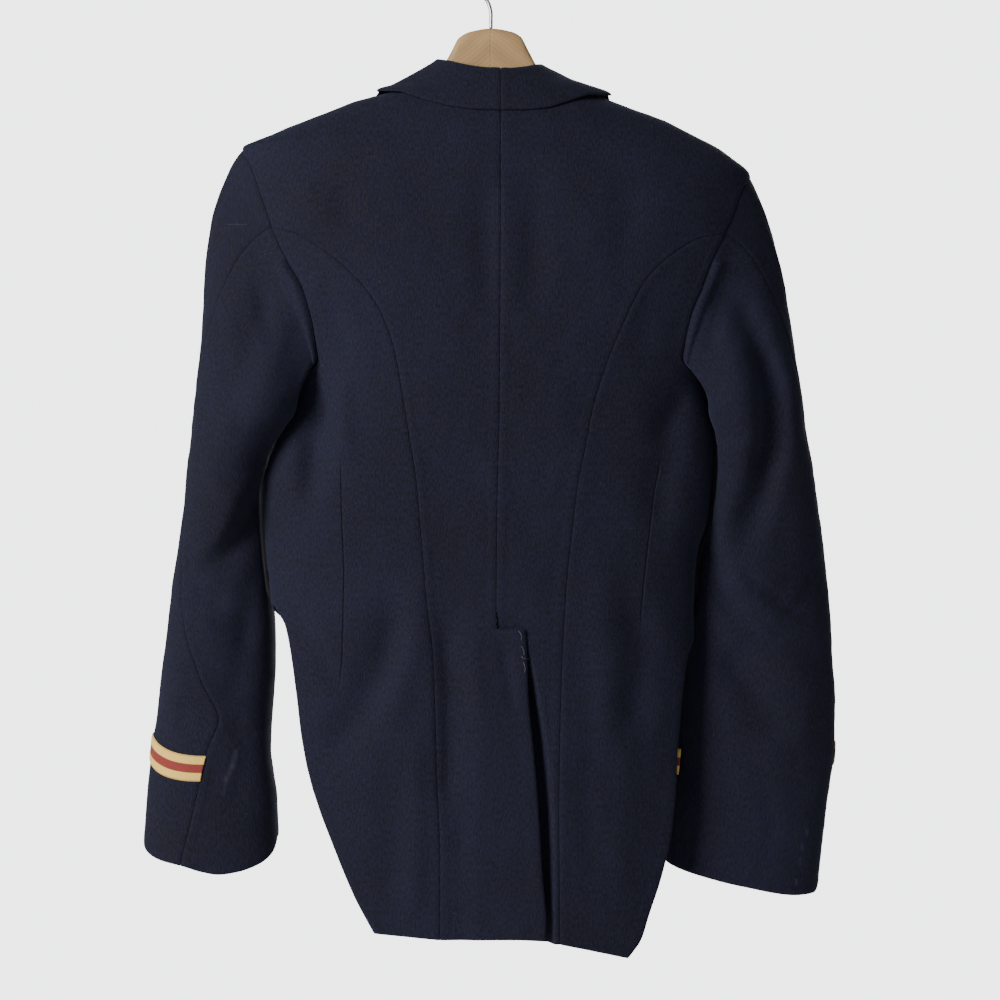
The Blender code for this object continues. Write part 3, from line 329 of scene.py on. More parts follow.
# soft folds on the back of the sleeves
SLEEVE_FOLDS = {
    "left": [
        ([(-225, 600), (-232, 660), (-240, 700)], 16, 4),
        ([(-300, 640), (-290, 700)], 14, -3),
        ([(-245, 300), (-240, 380), (-225, 430)], 18, 4),
    ],
    "right": [
        ([(232, 318), (246, 360), (256, 410), (257, 450), (250, 490), (240, 520), (226, 561)], 16, 13),
        ([(219, 628), (246, 687), (278, 736)], 18, 6),
        ([(290, 640), (262, 760)], 26, -4),
    ],
}

# wooden bow: x, drop of its top, drop of its underside, half thickness
HANGER = [
    (-214, 186, 206, 8), (-211, 180, 208, 13), (-190, 168.5, 203, 15), (-150, 152.5, 189, 14),
    (-110, 137, 174, 11), (-80, 127, 160, 9), (-58, 117, 148, 8), (-48, 108, 142, 8),
    (-42, 97, 138, 8), (-36, 86, 134, 8), (-30, 75, 131, 8), (-19, 69, 127, 8),
    (0, 66, 124, 8), (19, 69, 127, 8), (28, 74, 131, 8), (34, 85, 134, 8), (42, 100, 140, 8),
    (49, 111, 146, 8), (60, 119.5, 154, 8), (84, 130, 166, 9), (120, 145, 182, 11),
    (160, 161, 199, 14), (200, 180, 216, 15), (221, 197, 222, 13), (224, 203, 219, 8),
]
# wire hook: x, drop
HOOK = [
    (0, 65.85), (0, 58), (0, 51), (-3.5, 40), (-11, 32.5), (-18, 25), (-20.5, 16),
    (-17, 6), (-9, 0), (0, -1.75), (9, 0), (17, 6.5), (20.5, 16), (19, 25), (14.5, 31),
]


def bend_weights(t):
    """Weights of a smooth bend: start place, start slope, end place and end slope."""
    return 2 * t**3 - 3 * t**2 + 1, t**3 - 2 * t**2 + t, -2 * t**3 + 3 * t**2, t**3 - t**2


def smooth_curve(table, value, column=1):
    """Read one column of a table as a smooth curve of its first column."""
    rows = np.array([[float(v) for v in row] for row in table])
    a, b = rows[:, 0], rows[:, column]
    step = np.diff(a)
    slope = np.diff(b) / step
    grad = np.empty(len(a))
    grad[0], grad[-1] = slope[0], slope[-1]
    left, right = slope[:-1], slope[1:]
    same = left * right > 0
    grad[1:-1] = np.where(same, 2 * left * right / np.where(same, left + right, 1.0), 0.0)
    value = np.clip(np.asarray(value, float), a[0], a[-1])
    i = np.clip(np.searchsorted(a, value, side="right") - 1, 0, len(a) - 2)
    h00, h10, h01, h11 = bend_weights((value - a[i]) / step[i])
    return h00 * b[i] + h10 * step[i] * grad[i] + h01 * b[i + 1] + h11 * step[i] * grad[i + 1]


def ease(a, b, value):
    t = np.clip((np.asarray(value, float) - a) / (b - a), 0.0, 1.0)
    return t * t * (3 - 2 * t)


def line_distance(x, drop, points):
    """Distance to a bent line, its side (positive below or right of it) and the share along it."""
    x, drop = np.broadcast_arrays(np.asarray(x, float), np.asarray(drop, float))
    best = np.full(x.shape, 1e9)
    signed = np.zeros(x.shape)
    share = np.zeros(x.shape)
    p = np.array(points, float)
    lengths = np.hypot(*np.diff(p, axis=0).T)
    total = lengths.sum()
    run = 0.0
    for a, b, length in zip(p[:-1], p[1:], lengths):
        dx, dz = (b - a) / length
        along = (x - a[0]) * dx + (drop - a[1]) * dz
        near = np.clip(along, 0, length)
        px, pz = a[0] + near * dx, a[1] + near * dz
        d = np.hypot(x - px, drop - pz)
        cross = dx * (drop - a[1]) - dz * (x - a[0])
        closer = d < best - 1e-9
        best = np.where(closer, d, best)
        signed = np.where(closer, np.where(cross >= 0, d, -d), signed)
        share = np.where(closer, (run + near) / total, share)
        run += length
    return best, signed, share


def fold_sum(x, drop, folds):
    total = np.zeros(np.broadcast(x, drop).shape)
    for points, half_width, depth in folds:
        d, _, share = line_distance(x, drop, points)
        fade = ease(0.0, 0.22, share) * ease(0.0, 0.22, 1.0 - share)
        total = total + depth * np.exp(-(d / half_width) ** 2) * (0.15 + 0.85 * fade)
    return total


def lateral(x, drop, side):
    """Turn an x on the back into the ring position (0 centre back, 1 side, 2 centre front)."""
    half = smooth_curve(TRUNK, drop, 1 if side == "left" else 2)
    n = smooth_curve(TRUNK, drop, 5)
    s = np.clip(np.abs(x - smooth_curve(CENTRE, drop)) / half, 0.0, 1.0)
    c = (1 - s**n) ** (1 / n)
    return np.arctan2(s, c) / (math.pi / 2)


def trunk_point(q, drop, side, folds=True):
    q, drop = np.broadcast_arrays(np.asarray(q, float), np.asarray(drop, float))
    sign = -1.0 if side == "left" else 1.0
    half = smooth_curve(TRUNK, drop, 1 if side == "left" else 2)
    back = smooth_curve(TRUNK, drop, 3)
    front = smooth_curve(TRUNK, drop, 4)
    n = smooth_curve(TRUNK, drop, 5)
    angle = q * math.pi / 2
    s, c = np.abs(np.sin(angle)), np.cos(angle)
    r = 1.0 / (s**n + np.abs(c) ** n) ** (1 / n)
    x = smooth_curve(CENTRE, drop) + sign * half * r * s * np.where(q < 0, -1.0, 1.0)
    y = -np.where(c > 0, back, front) * r * c
    if folds:
        y = y + fold_sum(x, drop, TRUNK_FOLDS) * np.clip(c, 0, 1) ** 0.5 * np.where(c > 0, 1.0, 0.0)
    return np.stack([x, y, -drop], axis=-1)


def trunk_normal(q, drop, side):
    sign = -1.0 if side == "left" else 1.0
    dq = trunk_point(q + 0.004, drop, side) - trunk_point(q - 0.004, drop, side)
    dh = trunk_point(q, drop + 0.8, side) - trunk_point(q, drop - 0.8, side)
    return unit(np.cross(dq, dh) * -sign)


def armhole_lateral(drop, side):
    """Ring position of the armhole edge on the back; the front edge mirrors it about the side."""
    last = ARMHOLE[side][-1][0]
    on_table = lateral(smooth_curve(ARMHOLE[side], np.minimum(drop, last)), np.minimum(drop, last), side)
    low = lateral(ARMHOLE[side][-1][1], last, side)
    t = np.clip((np.asarray(drop, float) - last) / (UNDERARM_DROP - last), 0.0, 1.0)
    return np.where(drop <= last, on_table, low + (1 - low) * (1 - np.sqrt(1 - t * t)))


def vent_shift(x, drop, side):
    """How far the vent lap is lifted (left) or its underlap is sunk (right)."""
    below = ease(VENT_TOP - 22, VENT_TOP - 4, drop)
    if side == "left":
        return -(WALL + 0.7) * ease(-36, -15, x - smooth_curve(CENTRE, drop)) * below
    fold = smooth_curve(VENT_FOLD, drop)
    deep = 0.5 + 10.5 * ease(VENT_TOP, VENT_TOP + 70, drop)
    return deep * ease(2, -6, x - fold) * ease(VENT_TOP - 4, VENT_TOP + 4, drop)


def shifted(points, drop, side):
    out = points.copy()
    out[..., 1] += vent_shift(points[..., 0], drop, side)
    return out


def spread(a, b, count):
    """Ring positions or drops shared evenly between two edge columns."""
    t = np.linspace(0.0, 1.0, count)
    return a[:, None] * (1 - t) + b[:, None] * t


# the scene's own small creases: points (x, drop), half width, height (negative sinks in)
BACK_CREASES = [
    ([(-100, 190), (-60, 176), (-20, 170)], 9, -0.8),
    ([(112, 196), (76, 182), (36, 174)], 9, -0.7),
    ([(-150, 300), (-142, 345), (-132, 380)], 10, -1.4),
    ([(150, 300), (140, 350), (132, 384)], 10, -1.3),
    ([(-178, 402), (-150, 440), (-128, 462)], 7, -1.6),
    ([(-172, 428), (-150, 456), (-136, 470)], 5, 1.1),
    ([(182, 402), (160, 436), (140, 452)], 7, -1.5),
    ([(-60, 470), (-20, 476), (0, 472)], 9, -0.9),
    ([(60, 480), (30, 486), (10, 482)], 9, -0.8),
    ([(-118, 520), (-90, 528), (-70, 524)], 8, -1.0),
    ([(130, 520), (104, 530), (84, 526)], 8, -0.9),
    ([(-28, 640), (-20, 720), (-14, 800)], 11, -1.6),
    ([(-96, 740), (-88, 820), (-92, 880)], 14, -2.0),
    ([(-70, 700), (-66, 800), (-72, 890)], 9, 1.2),
    ([(92, 660), (88, 760), (90, 860)], 12, -1.8),
    ([(118, 700), (122, 800), (112, 880)], 12, 1.5),
    ([(-188, 600), (-160, 640), (-130, 690)], 9, -1.8),
    ([(10, 626), (15, 662), (22, 700)], 6, -1.3),
    ([(-155, 396), (-158, 430), (-162, 468), (-170, 512)], 11, -6.5),
    ([(-134, 388), (-133, 430), (-132, 470)], 8, 1.5),
]
FRONT_CREASES = [
    ([(-160, 300), (-150, 360), (-160, 410)], 13, -2.6),
    ([(162, 300), (150, 366), (160, 410)], 13, -2.6),
    ([(-120, 380), (-100, 450), (-96, 520)], 14, -2.2),
    ([(122, 390), (104, 456), (98, 520)], 14, -2.2),
    ([(-170, 470), (-130, 500), (-90, 506)], 9, -1.5),
    ([(160, 476), (128, 506), (92, 512)], 9, -1.5),
    ([(-150, 560), (-110, 590), (-70, 600)], 9, 1.3),
    ([(140, 556), (106, 588), (72, 602)], 9, 1.3),
    ([(-190, 240), (-170, 262), (-150, 270)], 9, -1.2),
    ([(192, 250), (172, 270), (152, 276)], 9, -1.2),
]
SLEEVE_CREASES = {
    "left": [
        ([(-209, 474), (-221, 500), (-241, 536), (-272, 576)], 6, -2.4),
        ([(-262, 300), (-250, 350), (-240, 400)], 9, -1.6),
        ([(-214, 300), (-206, 340), (-196, 372)], 8, -1.8),
        ([(-236, 440), (-214, 446), (-196, 440)], 6, -1.8),
        ([(-262, 470), (-244, 500), (-226, 510)], 8, 1.6),
        ([(-292, 560), (-268, 590), (-240, 600)], 7, -2.2),
        ([(-296, 588), (-276, 612), (-252, 622)], 6, 1.5),
        ([(-216, 560), (-226, 610), (-232, 650)], 8, -1.6),
        ([(-300, 660), (-286, 700), (-282, 730)], 9, -1.4),
        ([(-236, 690), (-230, 740), (-236, 800)], 9, -1.3),
        ([(-214, 700), (-210, 770), (-212, 820)], 8, 1.1),
    ],
    "right": [
        ([(246, 352), (256, 405), (258, 450), (250, 495)], 11, -5.0),
        ([(212, 545), (223, 582), (241, 606), (263, 627), (285, 636)], 5, -2.4),
        ([(212, 300), (206, 340), (198, 372)], 8, -1.8),
        ([(262, 290), (268, 350), (272, 410)], 10, -1.4),
        ([(200, 440), (222, 448), (236, 446)], 6, -1.8),
        ([(286, 470), (272, 520), (262, 560)], 10, -1.5),
        ([(226, 560), (250, 590), (282, 604)], 7, -2.2),
        ([(240, 584), (264, 610), (292, 618)], 6, 1.4),
        ([(200, 600), (210, 640), (236, 676)], 8, -1.6),
        ([(300, 660), (292, 720), (296, 780)], 10, 1.2),
        ([(190, 720), (196, 780), (190, 830)], 9, -1.3),
        ([(250, 760), (262, 810), (258, 850)], 9, -1.2),
    ],
}
# long darts in the side backs: x, drop; along them the wool is sunk and darkened with painted shade
DARTS = {
    "left": [(-136, 458), (-135, 513), (-133, 572), (-135, 652), (-139, 681)],
    "right": [(156, 463), (149, 498), (143, 549), (139, 587), (137, 620)],
}

# slow unevenness of hanging cloth: height, wave length, number of waves
UNEVEN = [(0.55, 95, 5), (0.28, 46, 6), (0.12, 21, 7)]
EDGE_LINES = (0.45, 0.95, 1.6, 2.5)
# sewn seam: groove depth, its reach, height of the allowance beside it, its width
SEAM_GROOVE, SEAM_REACH, SEAM_RIDGE, SEAM_RIDGE_WIDTH = 0.36, 1.5, 0.3, 9.0
TURNED_GROOVE, TURNED_REACH = 0.7, 2.0

# marks on the cloth: start (x, drop), end (x, drop), radius, strength, frayed
SLEEVE_MARKS = {
    "left": [
        ((-237, 738), (-240, 751), 4.2, 0.040, True),
        ((-240, 751), (-246, 764), 3.8, 0.030, True),
        ((-246, 764), (-248, 776), 3.0, 0.015, True),
        ((-243, 250), (-224, 251), 0.4, 0.06, False),
    ],
    "right": [
        ((294, 811), (294.3, 815), 2.2, 0.035, False),
        ((289.4, 825), (289.7, 829), 2.2, 0.035, False),
        ((287.5, 838), (287.8, 842), 2.2, 0.03, False),
        ((283.8, 857), (284.1, 861), 2.2, 0.035, False),
    ],
}


def refine(values, steps=None):
    """The same column read at evenly spaced places between its rows."""
    steps = steps or ROW_STEPS
    values = np.asarray(values, float)
    at = np.linspace(0, len(values) - 1, (len(values) - 1) * steps + 1)
    return np.interp(at, np.arange(len(values)), values)


def refine_ring(table):
    """Columns of a closed ring read at evenly spaced places between its rows."""
    closed = np.concatenate([table, table[:1]])
    return np.stack([refine(closed[:, c])[:-1] for c in range(table.shape[1])], axis=-1)


def unit(vectors):
    return vectors / np.maximum(np.linalg.norm(vectors, axis=-1, keepdims=True), 1e-9)


def make_waves():
    """Directions, phases and heights of the waves that make hanging cloth uneven."""
    rng = np.random.default_rng(11)
    waves = []
    for height, length, count in UNEVEN:
        for _ in range(count):
            way = rng.normal(size=3) * np.array([1.0, 0.6, 0.75])
            way = way / np.linalg.norm(way) * 2 * math.pi / (length * rng.uniform(0.75, 1.3))
            waves.append((way, rng.uniform(0, 2 * math.pi), height / math.sqrt(count)))
    return waves


WAVES = make_waves()


def unevenness(points):
    total = np.zeros(points.shape[:-1])
    for way, phase, height in WAVES:
        total = total + height * np.sin(points @ way + phase)
    return total


def crease_height(points, normal, creases, facing):
    """Height of the laid creases on the skin that faces the back (-1) or the front (1)."""
    weight = np.clip(facing * normal[..., 1], 0, 1) ** 0.6
    return fold_sum(points[..., 0], -points[..., 2], creases) * weight


def trunk_relief(points, normal):
    return (
        unevenness(points)
        + crease_height(points, normal, BACK_CREASES, -1)
        + crease_height(points, normal, FRONT_CREASES, 1)
    )


def sleeve_relief(points, normal, side):
    creases = SLEEVE_CREASES[side]
    mirrored = [([(x + 6, drop + 14) for x, drop in line], width * 1.1, height * 0.9)
                for line, width, height in creases]
    return (
        unevenness(points)
        + crease_height(points, normal, creases, -1)
        + crease_height(points, normal, mirrored, 1)
    )


def ring_length(q, drop, side):
    """Length round the trunk from the centre back, for the weave."""
    share = np.linspace(0, 1, 13)
    path = trunk_point(q[..., None] * share, drop[..., None] * np.ones(13), side, folds=False)
    return np.linalg.norm(np.diff(path, axis=-2), axis=-1).sum(axis=-1) * np.sign(q)


def trunk_panel(q, drop, side, points=None):
    """Points, face directions and weave coordinates of a panel, side by side."""
    if points is None:
        points = trunk_point(q, drop, side)
    normal = trunk_normal(np.maximum(q, 0.0), drop, side)
    weave = np.stack([ring_length(q, drop, side), drop], axis=-1)
    return np.concatenate([points, normal, weave], axis=-1)


def back_outer_edge(side):
    """Ring position and drop of the outer edge of the centre back, one per row."""
    rows = np.array(ROWS[side], float)
    drop = refine(rows[:, 1])
    q = np.ones(len(drop))
    first = RIDGE_ROWS * ROW_STEPS
    seam = (ARMHOLE_ROWS - 1) * ROW_STEPS
    q[first:seam] = armhole_lateral(drop[first:seam], side)
    ridge = first - ROW_STEPS
    q[ridge:first] = np.linspace(1.0, q[first], ROW_STEPS, endpoint=False)
    q[seam:] = lateral(smooth_curve(SHAPING_SEAM[side], drop[seam:]), drop[seam:], side)
    return q, drop


def centre_back(side):
    q_out, drop_out = back_outer_edge(side)
    drop_in = refine(np.array(ROWS[side], float)[:, 0])
    x_centre = smooth_curve(CENTRE, drop_in)
    below = drop_in > VENT_TOP
    if side == "left":
        reach = np.where(below, smooth_curve(VENT_LAP, drop_in) - x_centre, 0.0)
        q_in = -lateral(x_centre + reach, drop_in, "right")
    else:
        reach = np.where(below, 14.0, 0.0)
        q_in = -lateral(x_centre - reach, drop_in, "left")
    q = spread(q_in, q_out, PANEL_COLUMNS)
    drop = spread(drop_in, drop_out, PANEL_COLUMNS)
    points = trunk_point(q, drop, side)
    other = trunk_point(-q, drop, "right" if side == "left" else "left")
    points = np.where((q < 0)[..., None], other, points)
    points = shifted(points, drop, side)
    return trunk_panel(q, drop, side, points), below


def side_outer_edge(side):
    drop = refine(SIDE_DROPS[side])
    q = np.ones(len(drop))
    arm = SIDE_UNDERARM_ROW * ROW_STEPS
    q[:arm] = armhole_lateral(drop[:arm], side)
    tail = SIDE_WAIST_ROW * ROW_STEPS
    q[tail:] = lateral(smooth_curve(TAIL_EDGE[side], drop[tail:]), drop[tail:], side)
    last = tail - ROW_STEPS
    q[last:tail] = np.linspace(1.0, q[tail], ROW_STEPS, endpoint=False)
    return q, drop


def side_back(side):
    start = (ARMHOLE_ROWS - 1) * ROW_STEPS
    q_in, drop_in = back_outer_edge(side)
    q_out, drop_out = side_outer_edge(side)
    q = spread(q_in[start:], q_out, PANEL_COLUMNS)
    drop = spread(drop_in[start:], drop_out, PANEL_COLUMNS)
    return trunk_panel(q, drop, side)


def armhole_stations(side):
    """Ring position and drop of the armhole edge from the shoulder tip to the underarm."""
    rows = np.array(ROWS[side], float)
    upper = refine(rows[RIDGE_ROWS - 1:ARMHOLE_ROWS, 1])
    lower_rows = np.array(SIDE_DROPS[side], float)[:SIDE_UNDERARM_ROW + 1]
    lower_rows[0] = upper[-1]
    lower = refine(lower_rows)
    drop = np.concatenate([upper, lower[1:]])
    q = armhole_lateral(drop, side)
    q[:ROW_STEPS] = np.linspace(1.0, q[ROW_STEPS], ROW_STEPS, endpoint=False)
    q[-1] = 1.0
    return q, drop


def front_panel(side):
    """Front from the shoulder down to the waist, between the side seam and the open front edge."""
    ridge = refine(np.array(ROWS[side], float)[:RIDGE_ROWS, 1])
    q_arm, armhole = armhole_stations(side)
    side_rows = refine(SIDE_DROPS[side])[SIDE_UNDERARM_ROW * ROW_STEPS + 1:SIDE_WAIST_ROW * ROW_STEPS + 1]
    drop_out = np.concatenate([ridge, armhole[1:], side_rows])
    q_out = np.concatenate([np.ones(len(ridge)), 2.0 - q_arm[1:], np.ones(len(side_rows))])
    share = (drop_out - drop_out[0]) / (drop_out[-1] - drop_out[0])
    drop_in = FRONT_TOP + (FRONT_FOOT - FRONT_TOP) * share
    edge = smooth_curve(FRONT_EDGE[side], drop_in)
    q_in = 2.0 - lateral(edge, drop_in, side)
    first = slice(0, ROW_STEPS)
    q_in[first] = np.maximum(q_in[first], 1.12)
    q = spread(q_in, q_out, PANEL_COLUMNS)
    drop = spread(drop_in, drop_out, PANEL_COLUMNS)
    return trunk_panel(q, drop, side)


def armhole_ring(side):
    """Points round the armhole: shoulder tip, down the back, underarm, up the front."""
    q_down, down = armhole_stations(side)
    drop = np.concatenate([down, down[::-1][1:-1]])
    q = np.concatenate([q_down, 2.0 - q_down[::-1][1:-1]])
    return trunk_point(q, drop, side), trunk_normal(q, drop, side), q, drop


def trunk_outside(p, side):
    """Distance outside the smooth trunk (negative inside) and the way out, for points."""
    def level(x, y, drop):
        half = smooth_curve(TRUNK, drop, 1 if side == "left" else 2)
        depth = np.where(y < 0, smooth_curve(TRUNK, drop, 3), smooth_curve(TRUNK, drop, 4))
        n = smooth_curve(TRUNK, drop, 5)
        sx = np.abs(x - smooth_curve(CENTRE, drop)) / half
        return (sx**n + (np.abs(y) / depth) ** n) ** (1 / n) - 1.0

    x, y, drop = p[..., 0], p[..., 1], -p[..., 2]
    e = 0.5
    gx = (level(x + e, y, drop) - level(x - e, y, drop)) / (2 * e)
    gy = (level(x, y + e, drop) - level(x, y - e, drop)) / (2 * e)
    gz = -(level(x, y, drop + e) - level(x, y, drop - e)) / (2 * e)
    grad = np.stack([gx, gy, gz], axis=-1)
    size = np.maximum(np.linalg.norm(grad, axis=-1), 1e-6)
    return level(x, y, drop) / size, grad / size[..., None]


def clear_of_trunk(p, side, gap):
    """Push points out until they stand at least this far off the smooth trunk."""
    p = p.copy()
    for _ in range(4):
        distance, way = trunk_outside(p, side)
        p = p + way * np.clip(gap - distance, 0.0, 12.0)[..., None]
    return p


def sleeve_section(psi, drop, side):
    sign = -1.0 if side == "left" else 1.0
    outer = smooth_curve(SLEEVE[side], drop, 1)
    inner = smooth_curve(SLEEVE[side], drop, 2)
    middle = smooth_curve(SLEEVE[side], drop, 3)
    depth = smooth_curve(SLEEVE[side], drop, 4)
    n = SLEEVE_SQUARENESS
    s, c = np.sin(psi), np.cos(psi)
    r = 1.0 / (np.abs(s) ** n + np.abs(c) ** n) ** (1 / n)
    x = (outer + inner) / 2 + sign * np.abs(outer - inner) / 2 * r * c
    y = middle - depth * r * s
    return x, y


def sleeve_shape(psi, drop, side):
    """Section point with the elbow fold, the soft folds and the trunk kept clear."""
    x, y = sleeve_section(psi, drop, side)
    facing = np.clip(np.sin(psi), 0, 1) ** 0.6
    distance, signed, share = line_distance(x, drop, ELBOW_FOLD[side])
    above = signed if side == "left" else -signed
    depth = ELBOW_STAND[side]
    fade = ease(0.02, 0.2, share) * (1 - ease(0.72, 1.0, share))
    swell = SWELL_HEIGHT * np.exp(-((distance - SWELL_AT) / SWELL_WIDTH) ** 2)
    stand = np.where(above > 0, -depth * np.exp(-(distance / ELBOW_REACH) ** 2), 0.0)
    under = np.where(above <= 0, swell - depth * (1 - ease(0, ELBOW_HOLLOW, distance)), 0.0)
    y = y + (stand + under) * facing * fade
    y = y + fold_sum(x, drop, SLEEVE_FOLDS[side]) * facing
    return x, y


@functools.lru_cache(maxsize=None)
def sleeve_panel(side, part):
    """Rows from the armhole to the cuff, columns between the two sleeve seams."""
    k = ROW_STEPS
    ring, ring_normal, q, ring_drop = armhole_ring(side)
    total = len(ring)
    hind = (ARMHOLE_ROWS - RIDGE_ROWS) * k
    fore = (ARMHOLE_ROWS - RIDGE_ROWS + SIDE_UNDERARM_ROW + 5) * k
    if part == "under":
        picks = list(range(hind, fore + 1))
    else:
        picks = list(range(fore, total)) + list(range(0, hind + 1))
    start = ring[picks]
    start_normal = ring_normal[picks]
    length = np.concatenate([[0.0], np.cumsum(np.linalg.norm(np.diff(start, axis=0), axis=1))])
    share = length / length[-1]
    if part == "under":
        share = share + UNDERARM_SWING * share * (1 - share)

    def angles(t):
        hind_angle = smooth_curve(SLEEVE_SEAMS[side], t, 1)
        fore_angle = smooth_curve(SLEEVE_SEAMS[side], t, 2)
        a, b = (hind_angle, fore_angle) if part == "under" else (fore_angle, hind_angle + 360)
        return np.radians(a + (b - a) * share)

    ways = outward_edge(q[::k], ring_drop[::k], side)
    away, along, low = (refine_ring(way)[picks] for way in ways)
    cap_rows, body_rows = CAP_ROWS * k, BODY_ROWS * k
    psi_end = angles(CAP_END)
    end_drop = 414 - 18 * np.cos(psi_end)
    xe, ye = sleeve_shape(psi_end, end_drop, side)
    end = np.stack([xe, ye, -end_drop], axis=-1)
    xa, ya = sleeve_shape(angles(CAP_END + 0.012), end_drop + 6, side)
    tangent_end = unit(np.stack([xa, ya, -end_drop - 6], axis=-1) - end)
    gap = np.linalg.norm(end - start, axis=-1, keepdims=True)
    grid = [start + along * 0.35]
    for i in range(1, cap_rows + 1):
        h00, h10, h01, h11 = bend_weights((i / cap_rows) ** 0.85)
        grid.append(h00 * start + h10 * away * gap * 0.9 + h01 * end + h11 * tangent_end * gap * 0.9)
    for i in range(1, body_rows + 1):
        u = i / body_rows
        psi = angles(CAP_END + (1 - CAP_END) * u)
        last = smooth_curve(CUFF_EDGE[side], np.degrees(psi) % 360)
        drop = end_drop + (last - end_drop) * u
        x, y = sleeve_shape(psi, drop, side)
        grid.append(np.stack([x, y, -drop], axis=-1))
    grid = np.array(grid)
    for i in range(1, len(grid)):
        run = np.linalg.norm(grid[i] - start, axis=-1)
        depth = -grid[i][:, 2]
        clear = np.minimum(CLEAR_OF_TRUNK, 0.2 + 0.9 * run) - 60.0 * ease(*BELOW_WAIST, depth)
        clear = np.where(depth > UNDERARM_DROP - 110, clear, -50.0)
        grid[i] = clear_of_trunk(grid[i], side, clear)
    normal = grid_normal(grid)
    probe = grid[-6].mean(axis=0)
    middle = np.array([(SLEEVE[side][6][1] + SLEEVE[side][6][2]) / 2, 24.0, probe[2]])
    if np.dot(normal[-6].mean(axis=0), probe - middle) < 0:
        normal = -normal
    first = 2 * k
    blend = np.maximum(np.linspace(0.0, 0.9, first)[:, None, None], low[None])
    normal[:first] = start_normal * (1 - blend) + normal[:first] * blend
    return grid, unit(normal)


def sleeve_pair(side):
    """Both sleeve pieces, with one shared face direction along each seam."""
    top, top_normal = (table.copy() for table in sleeve_panel(side, "top"))
    under, under_normal = (table.copy() for table in sleeve_panel(side, "under"))
    for a, b in ((-1, 0), (0, -1)):
        shared = unit(top_normal[:, a] + under_normal[:, b])
        top_normal[:, a] = shared
        under_normal[:, b] = shared
    pair = {}
    for part, points, normal in (("top", top, top_normal), ("under", under, under_normal)):
        pair[part] = np.concatenate([points, normal, grid_weave(points)], axis=-1)
    return pair


def running_lengths(points):
    """Length from the first row down each column, and from the first column along each row."""
    lengths = []
    for axis in (0, 1):
        steps = np.linalg.norm(np.diff(points, axis=axis), axis=-1)
        start = np.zeros_like(np.take(steps, [0], axis=axis))
        lengths.append(np.concatenate([start, np.cumsum(steps, axis=axis)], axis=axis))
    return lengths


def grid_weave(points):
    """Weave coordinates from lengths along the rows and columns, measured from the middle column."""
    down, across = running_lengths(points)
    middle = points.shape[1] // 2
    return np.stack([across - across[:, middle:middle + 1], down], axis=-1)


def outward_edge(q, drop, side):
    """Direction that carries on from the trunk panel across the armhole edge."""
    sign = -1.0 if side == "left" else 1.0
    here = trunk_point(q, drop, side)
    normal = trunk_normal(q, drop, side)
    away = np.cross(unit(np.roll(here, -1, axis=0) - np.roll(here, 1, axis=0)), normal)
    centre = ARMHOLE_MIDDLE * np.array([sign, 1.0, 1.0])
    flip = np.sum(away * (centre - here), axis=-1) < 0
    along = unit(np.where(flip[:, None], -away, away))
    low = ease(0.1, 0.75, along[:, 2:3])
    away = along.copy()
    away[:, 2] = np.minimum(away[:, 2], 0.25)
    away[:, 0] += sign * (0.45 + CAP_FULLNESS[side] * (1 - ease(190, 260, drop)))
    away = away + normal * 0.7 * low
    hang = ease(325, 372, drop)[:, None] * (1 - ease(378, 396, drop)[:, None])
    away = away * (1 - 0.8 * hang) + (DOWN * 0.9 + normal * 0.5) * 0.8 * hang
    return unit(away), along, low


def grid_normal(grid):
    ways = []
    for axis in (0, 1):
        lines = np.moveaxis(grid, axis, 0)
        middle = lines[2:] - lines[:-2]
        steps = np.concatenate([lines[1:2] - lines[:1], middle, lines[-1:] - lines[-2:-1]])
        ways.append(np.moveaxis(steps, 0, axis))
    return unit(np.cross(*ways))


def neck_edge(side, u):
    """Foot of the collar: back neck to the shoulder, then down the front edge to u 1."""
    nape, shoulder, point, lapel_end = NECK_DROPS
    if u <= SHOULDER:
        q = u / SHOULDER
        return q, nape + (shoulder - nape) * q
    if u < NECK_POINT:
        t = (u - SHOULDER) / (NECK_POINT - SHOULDER)
        q = 1.0 + (front_ring(FRONT_EDGE[side], point, side) - 1.0) * t
        return q, shoulder + (point - shoulder) * t
    drop = point + (lapel_end - point) * (u - NECK_POINT) / (1 - NECK_POINT)
    return front_ring(FRONT_EDGE[side], drop, side), drop


def front_ring(table, drop, side):
    """Ring position, on the front, of the x that a table gives at a drop."""
    return 2.0 - float(lateral(float(smooth_curve(table, drop)), drop, side))


